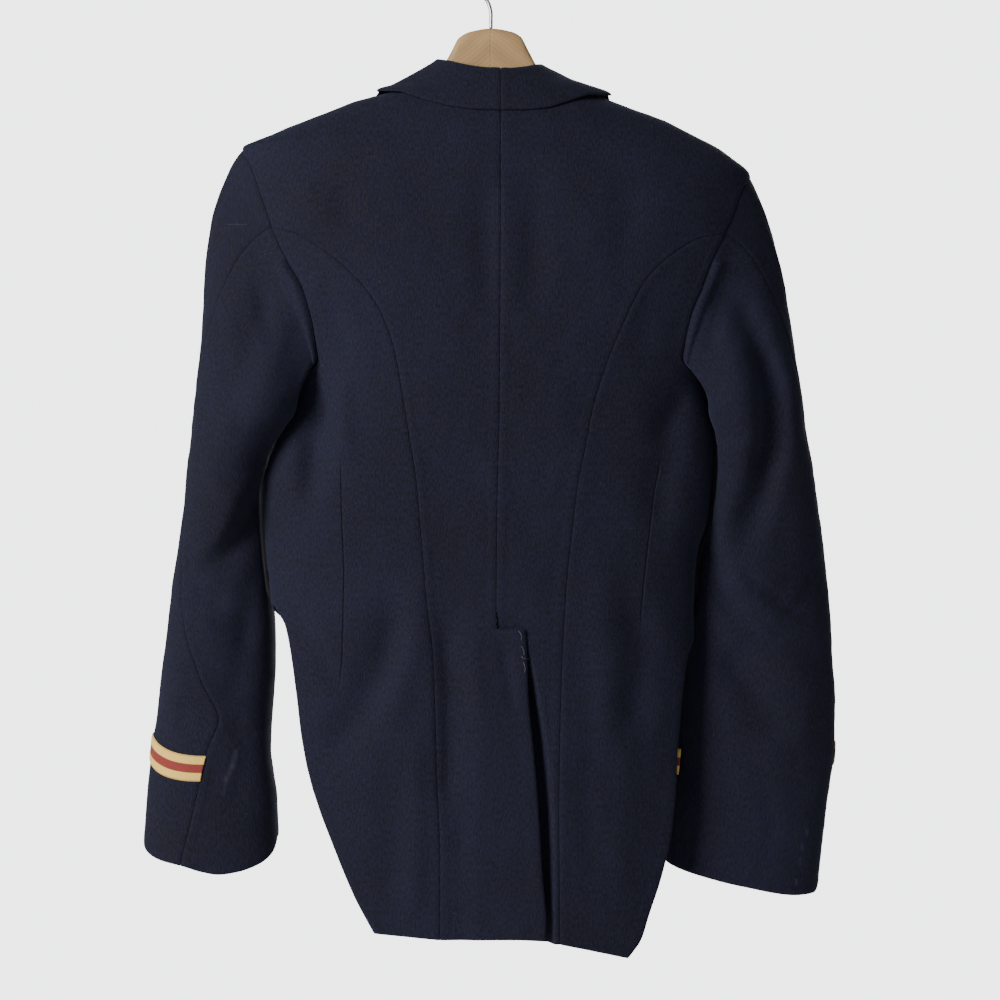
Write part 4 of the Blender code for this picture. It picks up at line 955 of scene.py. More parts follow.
def collar_strip(side):
    """Stand, roll and fall from the centre back round the neck and down the front."""
    sign = -1.0 if side == "left" else 1.0
    sections = []
    shares = np.concatenate([np.linspace(*run) for run in COLLAR_RUNS])
    for u in refine(shares, COLLAR_STEPS):
        q, drop = neck_edge(side, u)
        base = trunk_point(q, drop, side, folds=False)
        normal = trunk_normal(q, drop, side)
        front = float(ease(0.33, 0.46, u))
        k = min(u, SHOULDER)
        roll = [float(smooth_curve(COLLAR[side], k, c)) for c in (1, 2, 3)]
        roll_back = np.array([roll[0], roll[2], -roll[1]])
        if u > SHOULDER:
            roll_back = roll_back + np.array([0.0, 24.0, -7.0]) * ((u - SHOULDER) / 0.14)
        inwards = np.array([-sign, 0.0, 0.0])
        inwards = unit(inwards - normal * np.dot(inwards, normal))
        roll_front = base + inwards * 6.2 + normal * 0.6
        roll = roll_back * (1 - front) + roll_front * front
        edge = collar_edge(side, u)
        out_back = unit(roll_back * np.array([1.0, 1.0, 0.0]) - np.array([9.0, 14.0, 0.0]))
        out = unit(out_back * (1 - front) + normal * front)
        foot = base - normal * WALL
        away = np.array([0.0, 0.0, 1.0]) * (1 - front) + inwards * front
        foot = foot + away * (1.1 + 0.9 * float(ease(0.1, 0.3, u) * (1 - ease(0.36, 0.5, u))))
        up = unit(roll - (base - normal * 1.0))
        beside = foot + inwards * ROLL_REACH
        inner = (roll - out * ROLL_RADIUS - up * ROLL_REACH) * (1 - front) + beside * front
        outer = (roll + out * ROLL_RADIUS - up * ROLL_REACH) * (1 - front)
        outer = outer + (beside + normal * 5.3) * front
        fall = [
            outer + (edge - outer) * w + out * (FALL_BULGE * math.sin(math.pi * w)) for w in (0.33, 0.68)
        ]
        control = np.array([foot, (foot + inner) / 2, inner, roll, outer, *fall, edge])
        samples = refine(COLLAR_COLUMNS, COLLAR_STEPS)
        line = np.stack([catmull(COLLAR_KEYS, control[:, c], samples) for c in range(3)], axis=-1)
        turn = float(ease(0.2, 0.34, u) * (1 - ease(0.5, 0.62, u)))
        fall_part = samples >= 0.4999
        line[fall_part] = clear_of_trunk(line[fall_part], side, LIFT + 1.8 * turn)
        sections.append(line)
    return np.array(sections)


def collar_edge(side, u):
    """Outer edge of the fall and of the lapel, standing clear of the trunk."""
    if u <= SHOULDER:
        x, drop = (float(smooth_curve(COLLAR[side], u, c)) for c in (4, 5))
        q = float(lateral(x, drop, side))
    elif u <= 0.46:
        q, drop = (float(smooth_curve(COLLAR_TURN[side], u, c)) for c in (1, 2))
    else:
        start = COLLAR_TURN[side][-1][2]
        drop = start + (590 - start) * ((u - 0.46) / 0.54) ** 1.1
        q = front_ring(LAPEL_EDGE[side], drop, side)
    edge = trunk_point(q, drop, side, folds=False)
    return edge + trunk_normal(q, drop, side) * LIFT


def catmull(keys, values, at):
    grad = np.gradient(values, keys)
    i = np.clip(np.searchsorted(keys, at, side="right") - 1, 0, len(keys) - 2)
    step = keys[i + 1] - keys[i]
    h00, h10, h01, h11 = bend_weights((at - keys[i]) / step)
    return h00 * values[i] + h10 * step * grad[i] + h01 * values[i + 1] + h11 * step * grad[i + 1]


def braid_level(x, y, side):
    """Drop of the middle of the braid at a point of the sleeve."""
    outer, back, inner, front = BRAID_DROP[side]
    ring = SLEEVE[side][BRAID_RING]
    middle = (ring[1] + ring[2]) / 2
    hind = np.clip((ring[3] - y) / ring[4], -1, 1)
    level = outer if (x < middle) == (side == "left") else inner
    other = back if hind > 0 else front
    return level + (other - level) * abs(hind) ** 1.5


def braid_line(side, across):
    """A line of the braid round the top sleeve, with its face directions; across is -0.5 to 0.5."""
    grid, normal = sleeve_panel(side, "top")
    first = 9 * ROW_STEPS
    points, ways = [], []
    for j in range(grid.shape[1]):
        drops = -grid[first:, j, 2]

        def at(level, table):
            return np.array([np.interp(level, drops, table[first:, j, k]) for k in range(3)])

        x_here, y_here, _ = at(BRAID_LEVEL, grid)
        level = braid_level(x_here, y_here, side) + across * BRAID_WIDTH
        points.append(at(level, grid))
        ways.append(at(level, normal))
    points, ways = np.array(points), unit(np.array(ways))
    points = points + ways * sleeve_relief(points, ways, side)[:, None]
    return points, ways


def braid_panel(side):
    """Woven braid laid on the top sleeve between the two sleeve seams."""
    steps = np.linspace(-0.5, 0.5, 13)
    lines = [braid_line(side, across) for across in steps]
    points = np.array([line[0] for line in lines])
    normal = np.array([line[1] for line in lines])
    points = points + normal * (BRAID_LIFT + BRAID_WALL)
    weave = grid_weave(points)
    weave[..., 1] = ((steps + 0.5) * BRAID_WIDTH)[:, None]
    return np.concatenate([points, normal, weave], axis=-1)


def add_edge_lines(panel):
    """Extra rows and columns close to the four edges, so that the seams and hems can be shaped."""
    for axis in (0, 1):
        grid = np.moveaxis(panel, axis, 0)

        def lines(edge, inner):
            gap = inner - edge
            length = np.maximum(np.linalg.norm(gap[..., :3], axis=-1, keepdims=True), 1e-6)
            made = []
            for k, reach in enumerate(EDGE_LINES):
                most = 0.9 * (k + 1) / len(EDGE_LINES)
                made.append(edge + gap * np.minimum(reach / length, most))
            return made

        start = lines(grid[0], grid[1])
        end = lines(grid[-1], grid[-2])[::-1]
        grid = np.concatenate([grid[:1], start, grid[1:-1], end, grid[-1:]], axis=0)
        panel = np.moveaxis(grid, 0, axis)
    return panel


def edge_distances(points):
    """Distance of each point from the first row, last row, first column and last column."""
    down, across = running_lengths(points)
    return down, down[-1:] - down, across, across[:, -1:] - across


def sewn_profile(distance, kind):
    """Height beside a sewn seam or a turned edge; kind is 1 for a seam and 0 for a turned edge."""
    seam = -SEAM_GROOVE * (1 - np.clip(distance / SEAM_REACH, 0, 1)) ** 2
    ridge_end = 1 - ease(SEAM_RIDGE_WIDTH - 3, SEAM_RIDGE_WIDTH, distance)
    seam = seam + SEAM_RIDGE * ease(0.5, 3.0, distance) * ridge_end
    turned = -TURNED_GROOVE * (1 - np.clip(distance / TURNED_REACH, 0, 1)) ** 2
    turned = turned + 0.25 * ease(0.5, 4.0, distance) * (1 - ease(9.0, 13.0, distance))
    return seam * kind + turned * (1 - kind)


def pucker(points, distance):
    """Small gathers beside a sewn line."""
    along = points @ np.array([0.35, 0.2, 0.9])
    wave = np.sin(along / 2.3 + 1.7 * np.sin(along / 17.0)) * np.sin(along / 41.0 + 0.8)
    return 0.16 * wave * np.exp(-((distance - 3.0) / 5.0) ** 2)


SEWN, TURNED, PLAIN = 1.0, 0.0, None


def cloth_shell(name, panel, edges, material, wall, relief=None, extra=None):
    """A closed cloth body: shaped outer skin, plain inner skin and rounded rims.

    edges holds, for the first row, last row, first column and last column, SEWN, TURNED, PLAIN or
    one value for each point of the edge before the extra lines are added.
    """
    columns, rows = panel.shape[1], panel.shape[0]
    kinds = []
    for index, edge in enumerate(edges):
        count = columns if index < 2 else rows
        if edge is PLAIN:
            kinds.append(None)
            continue
        values = np.full(count, float(edge)) if np.isscalar(edge) else np.asarray(edge, float)
        first = np.repeat(values[:1], len(EDGE_LINES))
        last = np.repeat(values[-1:], len(EDGE_LINES))
        kinds.append(np.concatenate([values[:1], first, values[1:-1], last, values[-1:]]))
    panel = add_edge_lines(panel)
    points, normal, weave = panel[..., :3].copy(), unit(panel[..., 3:6]), panel[..., 6:8]
    distances = edge_distances(points)
    height = np.zeros(points.shape[:2])
    if relief is not None:
        height = height + relief(points, normal)
    inner = points + normal * (height - wall)[..., None]
    for index, kind in enumerate(kinds):
        if kind is None:
            continue
        spread_kind = kind[None, :] if index < 2 else kind[:, None]
        height = height + sewn_profile(distances[index], spread_kind)
        height = height + pucker(points, distances[index]) * spread_kind
    outer = points + normal * height[..., None]
    for index, kind in enumerate(kinds):
        if kind is None:
            continue
        along = np.moveaxis(outer, index // 2, 0)
        edge, beside = (along[0], along[1]) if index % 2 == 0 else (along[-1], along[-2])
        edge += unit(beside - edge) * (SEAM / 2) * kind[:, None]
    return build_shell(name, outer, inner, kinds, weave, material, extra)


def boundary(rows, columns):
    """The grid places round the edge, in order."""
    top = [(0, j) for j in range(columns - 1)]
    right = [(i, columns - 1) for i in range(rows - 1)]
    bottom = [(rows - 1, j) for j in range(columns - 1, 0, -1)]
    left = [(i, 0) for i in range(rows - 1, 0, -1)]
    return top + right + bottom + left


def build_shell(name, outer, inner, kinds, weave, material, extra):
    rows, columns = outer.shape[:2]
    count = rows * columns
    index = np.arange(count).reshape(rows, columns)
    a, b = index[:-1, :-1].ravel(), index[1:, :-1].ravel()
    c, d = index[1:, 1:].ravel(), index[:-1, 1:].ravel()
    faces = [np.stack([a, b, c, d], axis=1), np.stack([a, d, c, b], axis=1) + count]
    ring = boundary(rows, columns)
    middle = np.arange(len(ring)) + 2 * count
    rim = np.array([index[place] for place in ring])
    nearer = np.array([index[min(max(i, 1), rows - 2), min(max(j, 1), columns - 2)] for i, j in ring])
    flat_outer, flat_inner = outer.reshape(-1, 3), inner.reshape(-1, 3)
    away = unit(flat_inner[rim] - flat_inner[nearer])
    bulge = np.array([0.0 if rim_kind(kinds, place, rows, columns) else 0.45 for place in ring])
    middle_points = (flat_outer[rim] + flat_inner[rim]) / 2 + away * bulge[:, None]
    turn = np.roll(np.arange(len(ring)), -1)
    faces.append(np.stack([rim, middle, middle[turn], rim[turn]], axis=1)[:, ::-1])
    faces.append(np.stack([middle, rim + count, rim[turn] + count, middle[turn]], axis=1)[:, ::-1])
    faces = np.concatenate(faces)
    verts = np.concatenate([flat_outer, flat_inner, middle_points])
    flat_weave = weave.reshape(-1, 2)
    all_weave = np.concatenate([flat_weave, flat_weave, flat_weave[rim]])
    piece = add_mesh(name, verts, faces, material)
    loops = np.empty(len(piece.data.loops), int)
    piece.data.loops.foreach_get("vertex_index", loops)
    layer = piece.data.uv_layers.new(name="weave")
    layer.data.foreach_set("uv", (all_weave[loops] * MM).astype(np.float32).ravel())
    if extra is not None:
        for title, values in extra(verts).items():
            attribute = piece.data.attributes.new(title, "FLOAT", "POINT")
            attribute.data.foreach_set("value", values.astype(np.float32))
    return piece


def rim_kind(kinds, place, rows, columns):
    """True where the rim at this place is sewn to a neighbour."""
    i, j = place
    ends = ((i == 0, j), (i == rows - 1, j), (j == 0, i), (j == columns - 1, i))
    for index, (at, along) in enumerate(ends):
        if at and kinds[index] is not None and kinds[index][along] > 0.5:
            return True
    return False


def add_mesh(name, verts, faces, material):
    """A closed mesh from millimetre points; the faces are turned over if they look inwards."""
    verts, faces = np.asarray(verts, float), [list(face) for face in faces]
    fans = np.array([(face[0], *face[k:k + 2]) for face in faces for k in range(1, len(face) - 1)])
    a, b, c = (verts[fans[:, k]] for k in range(3))
    if np.einsum("ij,ij->i", a, np.cross(b, c)).sum() < 0:
        faces = [face[::-1] for face in faces]
    mesh = bpy.data.meshes.new(name)
    mesh.from_pydata((verts * MM).tolist(), [], faces)
    mesh.materials.append(material)
    mesh.update()
    mesh.shade_smooth()
    piece = bpy.data.objects.new(name, mesh)
    bpy.context.scene.collection.objects.link(piece)
    return piece


def dart_lines(side):
    """Signed distance from the dart and how open it is, for each point."""
    def made(verts):
        _, signed, share = line_distance(verts[:, 0], -verts[:, 2], DARTS[side])
        facing = np.where(verts[:, 1] < 0, 1.0, 0.0)
        open_part = ease(0.0, 0.12, share) * ease(0.0, 0.12, 1 - share) * facing
        return {"dart": signed, "dart_open": open_part}
    return made


def dress(piece, nodes):
    """The piece rides on the coat and stands for its solids, which are hidden."""
    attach(piece, BODY)
    if nodes:
        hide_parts(*nodes)


def lay_cloth(name, node, panel, edges, finish, wall, relief=None, extra=None):
    """Make one cloth piece and ride it on the coat in place of its solid."""
    piece = cloth_shell(name, panel, edges, material(finish), wall, relief, extra)
    dress(piece, [node])


def rounded_bar(stations, around, square):
    """Rounded sections across the width, closed at both ends."""
    rings = []
    for x, top, bottom, half in stations:
        angle = np.linspace(0, 2 * math.pi, around, endpoint=False)
        s, c = np.sin(angle), np.cos(angle)
        r = 1.0 / (np.abs(s) ** square + np.abs(c) ** square) ** (1 / square)
        level = -(top + bottom) / 2 + (bottom - top) / 2 * r * s
        rings.append(np.stack([np.full(around, x), half * r * c, level], axis=-1))
    return closed_tube(np.array(rings))


def closed_tube(rings):
    """Faces along a row of rings, closed by a fan at each end."""
    count, around = rings.shape[:2]
    ends = rings[[0, -1]].mean(axis=1)
    verts = np.concatenate([rings.reshape(-1, 3), ends])
    first, last = count * around, count * around + 1
    faces = []
    for i in range(count - 1):
        for k in range(around):
            j = (k + 1) % around
            faces.append([i * around + k, i * around + j, (i + 1) * around + j, (i + 1) * around + k])
    end = (count - 1) * around
    for k in range(around):
        j = (k + 1) % around
        faces.append([first, j, k])
        faces.append([last, end + k, end + j])
    return verts, faces


def round_wire(points, radius, steps, around):
    """Rings of a round wire or thread along a smooth path, narrowed at both ends."""
    p = np.array(points, float)
    chord = np.concatenate([[0.0], np.cumsum(np.linalg.norm(np.diff(p, axis=0), axis=1))])
    at = np.linspace(0, chord[-1], steps)
    path = np.stack([catmull(chord, p[:, k], at) for k in range(3)], axis=-1)
    tangent = unit(np.gradient(path, axis=0))
    side_way = np.array([0.0, 1.0, 0.0])
    if abs(tangent[0] @ side_way) > 0.9:
        side_way = np.array([1.0, 0.0, 0.0])
    rings = []
    for i, (centre, way) in enumerate(zip(path, tangent)):
        across = unit(np.cross(way, side_way))
        depth = np.cross(across, way)
        r = radius * (0.7 if i in (0, steps - 1) else 1.0)
        angle = np.linspace(0, 2 * math.pi, around, endpoint=False)
        rings.append(centre + r * (np.cos(angle)[:, None] * across + np.sin(angle)[:, None] * depth))
    return closed_tube(np.array(rings))


def math_node(operation, turned=False):
    """A method that adds one Math node; turned puts the other value first."""
    def method(self, *others):
        values = [*others, self] if turned else [self, *others]
        return self.shade.node("ShaderNodeMath", {"operation": operation}, values)
    return method


class Value:
    """A socket of a material's nodes; sums and products of values add Math nodes."""

    def __init__(self, shade, socket):
        self.shade = shade
        self.socket = socket

    __add__ = __radd__ = math_node("ADD")
    __sub__ = math_node("SUBTRACT")
    __rsub__ = math_node("SUBTRACT", turned=True)
    __mul__ = __rmul__ = math_node("MULTIPLY")
    __truediv__ = math_node("DIVIDE")
    __pow__ = math_node("POWER")
    sine = math_node("SINE")
    size = math_node("ABSOLUTE")
    least = math_node("MINIMUM")
    most = math_node("MAXIMUM")

    def between(self, low, high):
        """0 below low, 1 above high and smooth in between; low may be the greater."""
        return self.shade.node(
            "ShaderNodeMapRange", {"interpolation_type": "SMOOTHSTEP"}, [self, low, high, 0.0, 1.0]
        )


class Shade:
    """Builds the nodes of one material."""

    def __init__(self, name):
        self.material = bpy.data.materials.new(name)
        self.material.use_nodes = True
        self.tree = self.material.node_tree
        self.surface = self.tree.nodes["Principled BSDF"]

    def node(self, kind, settings=None, values=(), output=0):
        made = self.tree.nodes.new(kind)
        for key, value in (settings or {}).items():
            setattr(made, key, value)
        pairs = values.items() if isinstance(values, dict) else enumerate(values)
        for key, value in pairs:
            self.feed(made.inputs[key], value)
        return Value(self, made.outputs[output])

    def feed(self, socket, value):
        if isinstance(value, Value):
            self.tree.links.new(value.socket, socket)
        elif value is not None:
            socket.default_value = value

    def sockets(self, made, *names):
        return [Value(self, made.socket.node.outputs[name]) for name in names]

    def place(self):
        """X, Y and Z of the object's own coordinates, in millimetres, and the vector in metres."""
        spot = self.node("ShaderNodeTexCoord", output="Object")
        split = self.node("ShaderNodeSeparateXYZ", values=[spot])
        x, y, z = self.sockets(split, "X", "Y", "Z")
        return x * 1000.0, y * 1000.0, z * 1000.0, spot

    def weave(self):
        """The two weave coordinates in millimetres, and both as one vector in metres."""
        spot = self.node("ShaderNodeUVMap", {"uv_map": "weave"})
        split = self.node("ShaderNodeSeparateXYZ", values=[spot])
        across, along = self.sockets(split, "X", "Y")
        return across * 1000.0, along * 1000.0, spot

    def attribute(self, name):
        return self.node("ShaderNodeAttribute", {"attribute_name": name}, output="Fac")

    def noise(self, vector, scale, detail, rough):
        return self.node("ShaderNodeTexNoise", values={
            "Vector": vector, "Scale": scale, "Detail": detail, "Roughness": rough,
        }, output="Fac")

    def stretch(self, vector, scale):
        return self.node("ShaderNodeMapping", values={"Vector": vector, "Scale": scale})

    def mix(self, factor, a, b):
        made = self.node("ShaderNodeMix", {"data_type": "RGBA"})
        node = made.socket.node
        self.feed(node.inputs[0], factor)
        self.feed(node.inputs[6], a if isinstance(a, Value) else (*a, 1.0))
        self.feed(node.inputs[7], b if isinstance(b, Value) else (*b, 1.0))
        return Value(self, node.outputs[2])

    def bump(self, height, distance):
        """Height is 0 to 1, distance its full depth in metres."""
        bump = self.node("ShaderNodeBump", values={"Distance": distance, "Height": height})
        self.feed(self.surface.inputs["Normal"], bump)

    def set(self, **values):
        for key, value in values.items():
            name = key.replace("_", " ")
            self.feed(self.surface.inputs[name], (*value, 1.0) if isinstance(value, tuple) else value)


def dimmed(colour, share):
    """A colour made darker, or lighter where the share is over 1."""
    return tuple(min(1.0, share * c) for c in colour)


def wool_material(name, sizes, marks=(), dart=False):
    """Matt navy wool: a fine steep twill with a pebbled face, faint nap, lint and the given marks; with a
    dart, its sunk line also carries painted shade.
    """
    shade = Shade(name)
    across, along, weave = shade.weave()
    x, y, z, spot = shade.place()
    pitch = sizes.weave_pitch / MM
    wander = shade.noise(weave, 420.0, 2.0, 0.6)
    rib = ((across + along * 0.10) * (2 * math.pi / pitch) + wander * 9.0).sine() * 0.5 + 0.5
    pick = (along * (2 * math.pi / (pitch * 0.8)) + wander * 6.0).sine() * 0.5 + 0.5
    pebble = shade.noise(shade.stretch(weave, (1.0, 0.5, 1.0)), 520.0, 3.0, 0.65)
    cloud = shade.noise(spot, 9.0, 3.0, 0.55)
    nap = shade.noise(shade.stretch(weave, (1.0, 0.35, 1.0)), 160.0, 3.0, 0.6)
    dark, light = dimmed(sizes.wool_colour, 0.25), dimmed(sizes.wool_colour, 2.3)
    tone = rib * 0.16 + pebble * 1.45 + nap * 0.40 + cloud * 0.40 - 0.75
    colour = shade.mix(tone.between(0.0, 1.0), dark, light)
    cell = shade.node("ShaderNodeTexVoronoi", {"feature": "F1"}, {
        "Vector": spot, "Scale": 150.0, "Randomness": 1.0,
    }, output="Distance")
    pick_cell = Value(shade, cell.socket.node.outputs["Color"])
    chance = shade.node("ShaderNodeSeparateXYZ", values=[pick_cell])
    lint = cell.between(0.11, 0.05) * chance.between(0.955, 0.975)
    colour = shade.mix(lint * 0.10, colour, (0.30, 0.31, 0.36))
    back = y.between(30.0, 12.0)
    for (x0, d0), (x1, d1), radius, strength, frayed in marks:
        dx, dz = x1 - x0, d1 - d0
        length2 = dx * dx + dz * dz
        drop = z * -1.0
        share = (((x - x0) * dx + (drop - d0) * dz) / length2).most(0.0).least(1.0)
        off_x = x - x0 - share * dx
        off_z = drop - d0 - share * dz
        distance = (off_x * off_x + off_z * off_z) ** 0.5
        if frayed:
            rub = shade.noise(spot, 420.0, 3.0, 0.7)
            distance = distance + rub * 3.2 - 1.6
        mark = distance.between(radius, radius * (0.0 if frayed else 0.3)) * back
        colour = shade.mix(mark * strength, colour, (0.33, 0.34, 0.40))
    height = rib * 0.16 + pebble * 0.70 + pick * 0.06 + nap * 0.25
    if dart:
        line = shade.attribute("dart").size()
        shut = shade.attribute("dart_open")
        height = height - line.between(1.5, 0.2) * shut * 1.6
        # painted shade: where the dart is open, its line is darkened towards the dark wool colour, like
        # shade in its groove
        colour = shade.mix(line.between(1.3, 0.2) * shut * 0.25, colour, dark)
    shade.bump(height, sizes.weave_depth)
    shade.set(Base_Color=colour, Roughness=0.72 + nap * 0.22)
    shade.set(Specular_IOR_Level=0.22, Sheen_Weight=0.08, Sheen_Roughness=0.5)
    shade.set(Sheen_Tint=(0.45, 0.52, 0.75))
    return shade.material


def braid_material(sizes):
    """Flat woven braid: three bands, each ribbed across, with thin binding threads between them."""
    shade = Shade("braid_cloth")
    along, across, weave = shade.weave()
    band = BRAID_WIDTH / 3
    middle = (across - BRAID_WIDTH / 2).size()
    red = middle.between(band / 2 + 0.25, band / 2 - 0.25)
    rib = (along * (2 * math.pi / 1.15)).sine() * 0.5 + 0.5
    thread = (across * (2 * math.pi / 0.9) + rib * 1.3).sine() * 0.5 + 0.5
    fuzz = shade.noise(weave, 700.0, 3.0, 0.6)
    worn = shade.noise(weave, 60.0, 2.0, 0.6)
    yellow = shade.mix(
        fuzz * 0.5 + worn * 0.5, dimmed(sizes.braid_yellow, 0.92), sizes.braid_yellow,
    )
    scarlet = shade.mix(fuzz * 0.6 + worn * 0.4, dimmed(sizes.braid_red, 0.72), sizes.braid_red)
    colour = shade.mix(red, yellow, scarlet)
    binding = (middle - band / 2).size().between(0.55, 0.15)
    colour = shade.mix(binding * 0.35, colour, (0.16, 0.07, 0.03))
    edge = middle.between(BRAID_WIDTH / 2 - 1.1, BRAID_WIDTH / 2 - 0.4)
    colour = shade.mix(edge * 0.35, colour, (0.20, 0.13, 0.05))
    colour = shade.mix((1.0 - rib) * 0.14, colour, (0.10, 0.05, 0.02))
    height = rib * 0.5 + thread * 0.22 + fuzz * 0.2 - binding * 0.6
    shade.bump(height, 0.00035)
    shade.set(Base_Color=colour, Roughness=0.62 + fuzz * 0.2)
    shade.set(Specular_IOR_Level=0.35, Sheen_Weight=0.15, Sheen_Roughness=0.4)
    return shade.material


def wood_material(sizes):
    """Pale beech, its grain sloping down on both sides of a centre joint."""
    shade = Shade("hanger_beech")
    x, y, z, spot = shade.place()
    side = x.size()
    slope = z * 0.045 + side * 0.034 + y * 0.012
    waver = shade.noise(spot, 16.0, 3.0, 0.5)
    ring = ((slope + waver * 1.1) * 6.0).sine() * 0.5 + 0.5
    fine = ((slope * 5.3 + waver * 2.6) * 6.0).sine() * 0.5 + 0.5
    fleck = shade.noise(shade.stretch(spot, (1.0, 1.0, 0.14)), 900.0, 2.0, 0.6)
    dark, light = dimmed(sizes.wood_colour, 0.74), dimmed(sizes.wood_colour, 1.12)
    colour = shade.mix(ring * 0.40 + fine * 0.20 + fleck * 0.25 + 0.08, dark, light)
    joint = side.between(1.2, 0.3)
    colour = shade.mix(joint * 0.12, colour, dimmed(sizes.wood_colour, 0.6))
    edge = y.size().between(7.2, 8.2)
    colour = shade.mix(edge * 0.18, colour, dimmed(sizes.wood_colour, 0.6))
    shade.bump(ring * 0.3 + fine * 0.3 + fleck * 0.4 - joint * 0.5, 0.00022)
    shade.set(Base_Color=colour, Roughness=0.42 + fleck * 0.18)
    shade.set(Coat_Weight=0.12, Coat_Roughness=0.35, Specular_IOR_Level=0.45)
    return shade.material


def wire_material():
    """Bright drawn wire with fine lines along it and dull spots."""
    shade = Shade("hook_steel")
    spot = shade.place()[3]
    drawn = shade.noise(shade.stretch(spot, (1.0, 1.0, 0.05)), 2400.0, 2.0, 0.6)
    dull = shade.noise(spot, 130.0, 3.0, 0.6)
    colour = shade.mix(dull, (0.36, 0.36, 0.36), (0.62, 0.62, 0.60))
    shade.bump(drawn, 0.00008)
    shade.set(Base_Color=colour, Roughness=0.22 + dull * 0.22, Metallic=1.0)
    return shade.material


def thread_material(name, colour):
    """Sewing thread: two strands twisted, seen as fine slanting ridges."""
    shade = Shade(name)
    x, _, z, spot = shade.place()
    twist = ((x + z) * (2 * math.pi / 0.5)).sine() * 0.5 + 0.5
    fuzz = shade.noise(spot, 1500.0, 2.0, 0.6)
    made = shade.mix(twist * 0.6 + fuzz * 0.4, dimmed(colour, 0.7), colour)
    shade.bump(twist * 0.7 + fuzz * 0.3, 0.0001)
    shade.set(Base_Color=made, Roughness=0.6 + fuzz * 0.2)
    shade.set(Sheen_Weight=0.1)
    return shade.material


def floor_material():
    """Pale painted floor with a very soft mottle."""
    shade = Shade("pale_floor")
    spot = shade.place()[3]
    mottle = shade.noise(spot, 3.0, 3.0, 0.5)
    grain = shade.noise(spot, 160.0, 2.0, 0.5)
    colour = shade.mix(mottle * 0.6 + grain * 0.4, (0.72, 0.72, 0.72), (0.80, 0.80, 0.81))
    shade.bump(grain, 0.0003)
    shade.set(Base_Color=colour, Roughness=0.75 + grain * 0.1)
    return shade.material


MATERIALS = {}


def material(key):
    """Each finish is made once and then shared by its pieces."""
    if key not in MATERIALS:
        sizes = bpy.context.scene.jacket_sizes
        makers = {
            "wool": lambda: wool_material("navy_wool", sizes),
            "wool_dart": lambda: wool_material("navy_wool_dart_painted_shade", sizes, dart=True),
            "wool_left": lambda: wool_material("navy_wool_left_sleeve", sizes, SLEEVE_MARKS["left"]),
            "wool_right": lambda: wool_material("navy_wool_right_sleeve", sizes, SLEEVE_MARKS["right"]),
            "braid": lambda: braid_material(sizes),
            "wood": lambda: wood_material(sizes),
            "steel": wire_material,
            "yellow_thread": lambda: thread_material("yellow_thread", sizes.braid_yellow),
            "dark_thread": lambda: thread_material("dark_thread", (0.02, 0.022, 0.035)),
            "pale_thread": lambda: thread_material("pale_thread", (0.34, 0.35, 0.38)),
            "floor": floor_material,
        }
        MATERIALS[key] = makers[key]()
    return MATERIALS[key]


def length_setting(name, about, default, low, high):
    return bpy.props.FloatProperty(
        name=name, description=about, default=default, min=low, max=high, unit="LENGTH",
    )


def colour_setting(name, about, default):
    return bpy.props.FloatVectorProperty(
        name=name, description=about, default=default, min=0.0, max=1.0, size=3, subtype="COLOR",
    )


def power_setting(name, about, default):
    return bpy.props.FloatProperty(
        name=name, description=about, default=default, min=0.0, max=1000.0, unit="POWER",
    )


def strength_setting(name, about, default, high):
    return bpy.props.FloatProperty(
        name=name, description=about, default=default, min=0.0, max=high,
    )


class JacketSizes(bpy.types.PropertyGroup):
    """Sizes and colours of the cloth, braid, thread and wood."""

    cloth_wall: length_setting(
        "Cloth thickness", "Thickness of the wool with what backs it", 0.0017, 0.0005, 0.003,
    )
    weave_pitch: length_setting(
        "Weave pitch", "Distance between two ribs of the twill", 0.0013, 0.0005, 0.005,
    )
    weave_depth: length_setting(
        "Weave depth", "Height of the ribs and pebbles of the wool", 0.0006, 0.0, 0.002,
    )
    wool_colour: colour_setting("Wool", "Colour of the navy wool", (0.0050, 0.0052, 0.0155))
    braid_yellow: colour_setting("Braid yellow", "Colour of the braid's outer bands", (0.98, 0.64, 0.15))
    braid_red: colour_setting("Braid red", "Colour of the braid's middle band", (0.31, 0.038, 0.032))
    wood_colour: colour_setting("Wood", "Colour of the hanger's beech", (0.46, 0.285, 0.13))
    stitch_length: length_setting("Stitch length", "Length of one stitch", 0.0024, 0.001, 0.01)
    stitch_gap: length_setting("Stitch gap", "Gap between two stitches", 0.0009, 0.0002, 0.01)
    thread_radius: length_setting(
        "Thread radius", "Half the thickness of the sewing thread", 0.00022, 0.00005, 0.001,
    )


class StageSizes(bpy.types.PropertyGroup):
    """Floor, lights and camera."""

    floor_level: length_setting("Floor level", "Height of the floor below the hook", -1.65, -3.0, -1.0)
    floor_radius: length_setting("Floor radius", "Radius of the round floor", 2.2, 0.5, 10.0)
    key_power: power_setting("Key light", "Power of the large soft light at the upper left", 160.0)
    fill_power: power_setting("Fill light", "Power of the soft light at the right", 6.0)
    far_power: power_setting("Far light", "Power of the soft light on the coat's front", 70.0)
    room_colour: colour_setting("Room", "Pale light all round", (0.93, 0.94, 0.96))
    room_strength: strength_setting("Room strength", "Strength of the pale light all round", 0.23, 5.0)
    backdrop_strength: strength_setting("Backdrop strength", "Brightness of the plain backdrop", 4.0, 10.0)
    camera_lens: bpy.props.FloatProperty(
        name="Lens", description="Focal length of the camera in millimetres",
        default=80.0, min=20.0, max=200.0, subtype="NONE",
    )
    camera_place: bpy.props.FloatVectorProperty(
        name="Camera place", description="Where the camera stands",
        default=(0.0084, -2.066, -0.504), size=3, subtype="TRANSLATION", unit="LENGTH",
    )


def wall_of(sizes):
    return sizes.cloth_wall / MM


